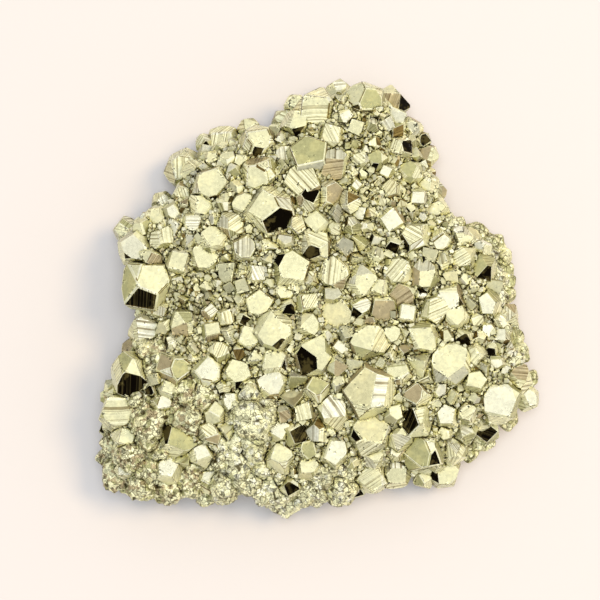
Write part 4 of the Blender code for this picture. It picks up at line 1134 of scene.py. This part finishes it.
class PYRITE_OT_grains(bpy.types.Operator):
    """Build the coarse and fine grains that crust the seams and the druses"""

    bl_idname = "pyrite.grains"
    bl_label = "Fine grains"

    def execute(self, context):
        rng = random.Random(SEED + 2)
        crowd = Crowd()
        for x, y, radius, *_ in CRYSTALS:
            crowd.add(x, y, radius * GROWTH)
        for circle in gap_circles():
            crowd.add(*circle)
        grains = []
        least, more = GRAIN_RADIUS
        for x, y in plan_points(rng, context.scene.pyrite.grains):
            if is_etched(x, y) and rng.random() < GRAINS_ETCHED_AWAY:
                continue
            radius = least + more * rng.random() ** 2
            if crowd.fits(x, y, radius, GRAIN_CLEAR):
                grains.append((x, y, crust(x, y) + rng.uniform(*GRAIN_HEIGHT), radius))
        drawn = np.random.default_rng(SEED + 2)
        kinds = [prototype(rng, 0.0, False) for _ in range(GRAIN_KINDS)]
        material = crystal_material("pyrite grains, fine", 0.0, 0.0, GRAIN_SHADING)
        for name, is_coarse in (("coarse_grains", True), ("fine_grains", False)):
            chosen = [grain for grain in grains if (grain[3] >= COARSE_GRAIN) == is_coarse]
            settle(strew(kinds, chosen, drawn).to_object(name, material))
        return {'FINISHED'}


def soft_light(context, name, size, power, colour, place):
    """A large round lamp that looks at the specimen and isn't seen in its faces."""
    light = bpy.data.lights.new(name, 'AREA')
    light.shape, light.size, light.energy, light.color = 'DISK', size, power, linear(colour)
    lamp = bpy.data.objects.new(name, light)
    context.scene.collection.objects.link(lamp)
    lamp.visible_glossy = False
    lamp.location = place
    lamp.rotation_euler = (-Vector(place)).to_track_quat('-Z', 'Y').to_euler()


class PYRITE_OT_stage(bpy.types.Operator):
    """Lay the pale floor and set the camera and the soft studio light"""

    bl_idname = "pyrite.stage"
    bl_label = "Studio"

    def execute(self, context):
        settings = context.scene.pyrite
        bpy.ops.mesh.primitive_plane_add(size=2.4)
        floor = context.object
        floor.name = "floor"
        # Matt studio paper: an even pale ground without any shine.
        material = bpy.data.materials.new("studio paper, matt")
        material.use_nodes = True
        fill(material.node_tree, material.node_tree.nodes["Principled BSDF"], {
            "Base Color": (*settings.floor_colour, 1), "Roughness": PAPER_ROUGHNESS,
            "Specular IOR Level": PAPER_SHEEN,
        })
        floor.data.materials.append(material)

        camera = bpy.data.objects.new("camera", bpy.data.cameras.new("camera"))
        context.scene.collection.objects.link(camera)
        camera.data.lens = 120
        camera.data.clip_start = 0.01
        back = looking(-90, 90 - CAMERA_ELEVATION)
        camera.location = (Vector(AIM) + back * CAMERA_DISTANCE) * MM
        camera.rotation_euler = (-back).to_track_quat('-Z', 'Y').to_euler()
        context.scene.camera = camera

        soft_light(context, "key", 0.65, settings.key_power, "#ffddaa", (0.90, 0.25, 1.50))
        soft_light(context, "top", 0.8, settings.top_power, "#fbfcff", (0.0, 0.0, 1.60))

        # The studio's walls: brighter toward the key light.
        world = bpy.data.worlds.new("soft studio")
        context.scene.world = world
        world.use_nodes = True
        tree = world.node_tree
        direction = node(tree, 'TexCoord', output="Generated")
        lit = node(tree, 'VectorMath', (direction, (0.50, 0.28, 0.82)), "Value", operation='DOT_PRODUCT')
        sky = node(tree, 'ValToRGB', (lit,))
        stops = sky.node.color_ramp.elements
        stops[0].color = (*linear("#c2c2c2"), 1)
        for position, grey in ((0.35, "#dadada"), (0.80, "#ececec")):
            stops.new(position).color = (*linear(grey), 1)
        fill(tree, tree.nodes["Background"], {"Color": sky, "Strength": SKY_STRENGTH})
        context.scene.view_settings.view_transform = 'Standard'
        return {'FINISHED'}


class PYRITE_PT_panel(bpy.types.Panel):
    """Lists the pieces and the settings"""

    bl_idname = "PYRITE_PT_panel"
    bl_label = "Pyrite specimen"
    bl_space_type = 'VIEW_3D'
    bl_region_type = 'UI'
    bl_category = "Pyrite"

    def draw(self, context):
        for name in PyriteSettings.__annotations__:
            self.layout.prop(context.scene.pyrite, name)
        for operator in PIECES:
            self.layout.operator(operator.bl_idname)


PIECES = (
    PYRITE_OT_massive, PYRITE_OT_listed, PYRITE_OT_knobs, PYRITE_OT_small, PYRITE_OT_grains, PYRITE_OT_stage,
)
CLASSES = (PyriteSettings, *PIECES, PYRITE_PT_panel)


def register():
    for cls in CLASSES:
        bpy.utils.register_class(cls)
    bpy.types.Scene.pyrite = bpy.props.PointerProperty(type=PyriteSettings)


def unregister():
    del bpy.types.Scene.pyrite
    for cls in reversed(CLASSES):
        bpy.utils.unregister_class(cls)


def main():
    register()
    bpy.ops.pyrite.massive()
    bpy.ops.pyrite.listed()
    bpy.ops.pyrite.knobs()
    bpy.ops.pyrite.small()
    bpy.ops.pyrite.grains()
    bpy.ops.pyrite.stage()


if __name__ == "__main__":
    main()
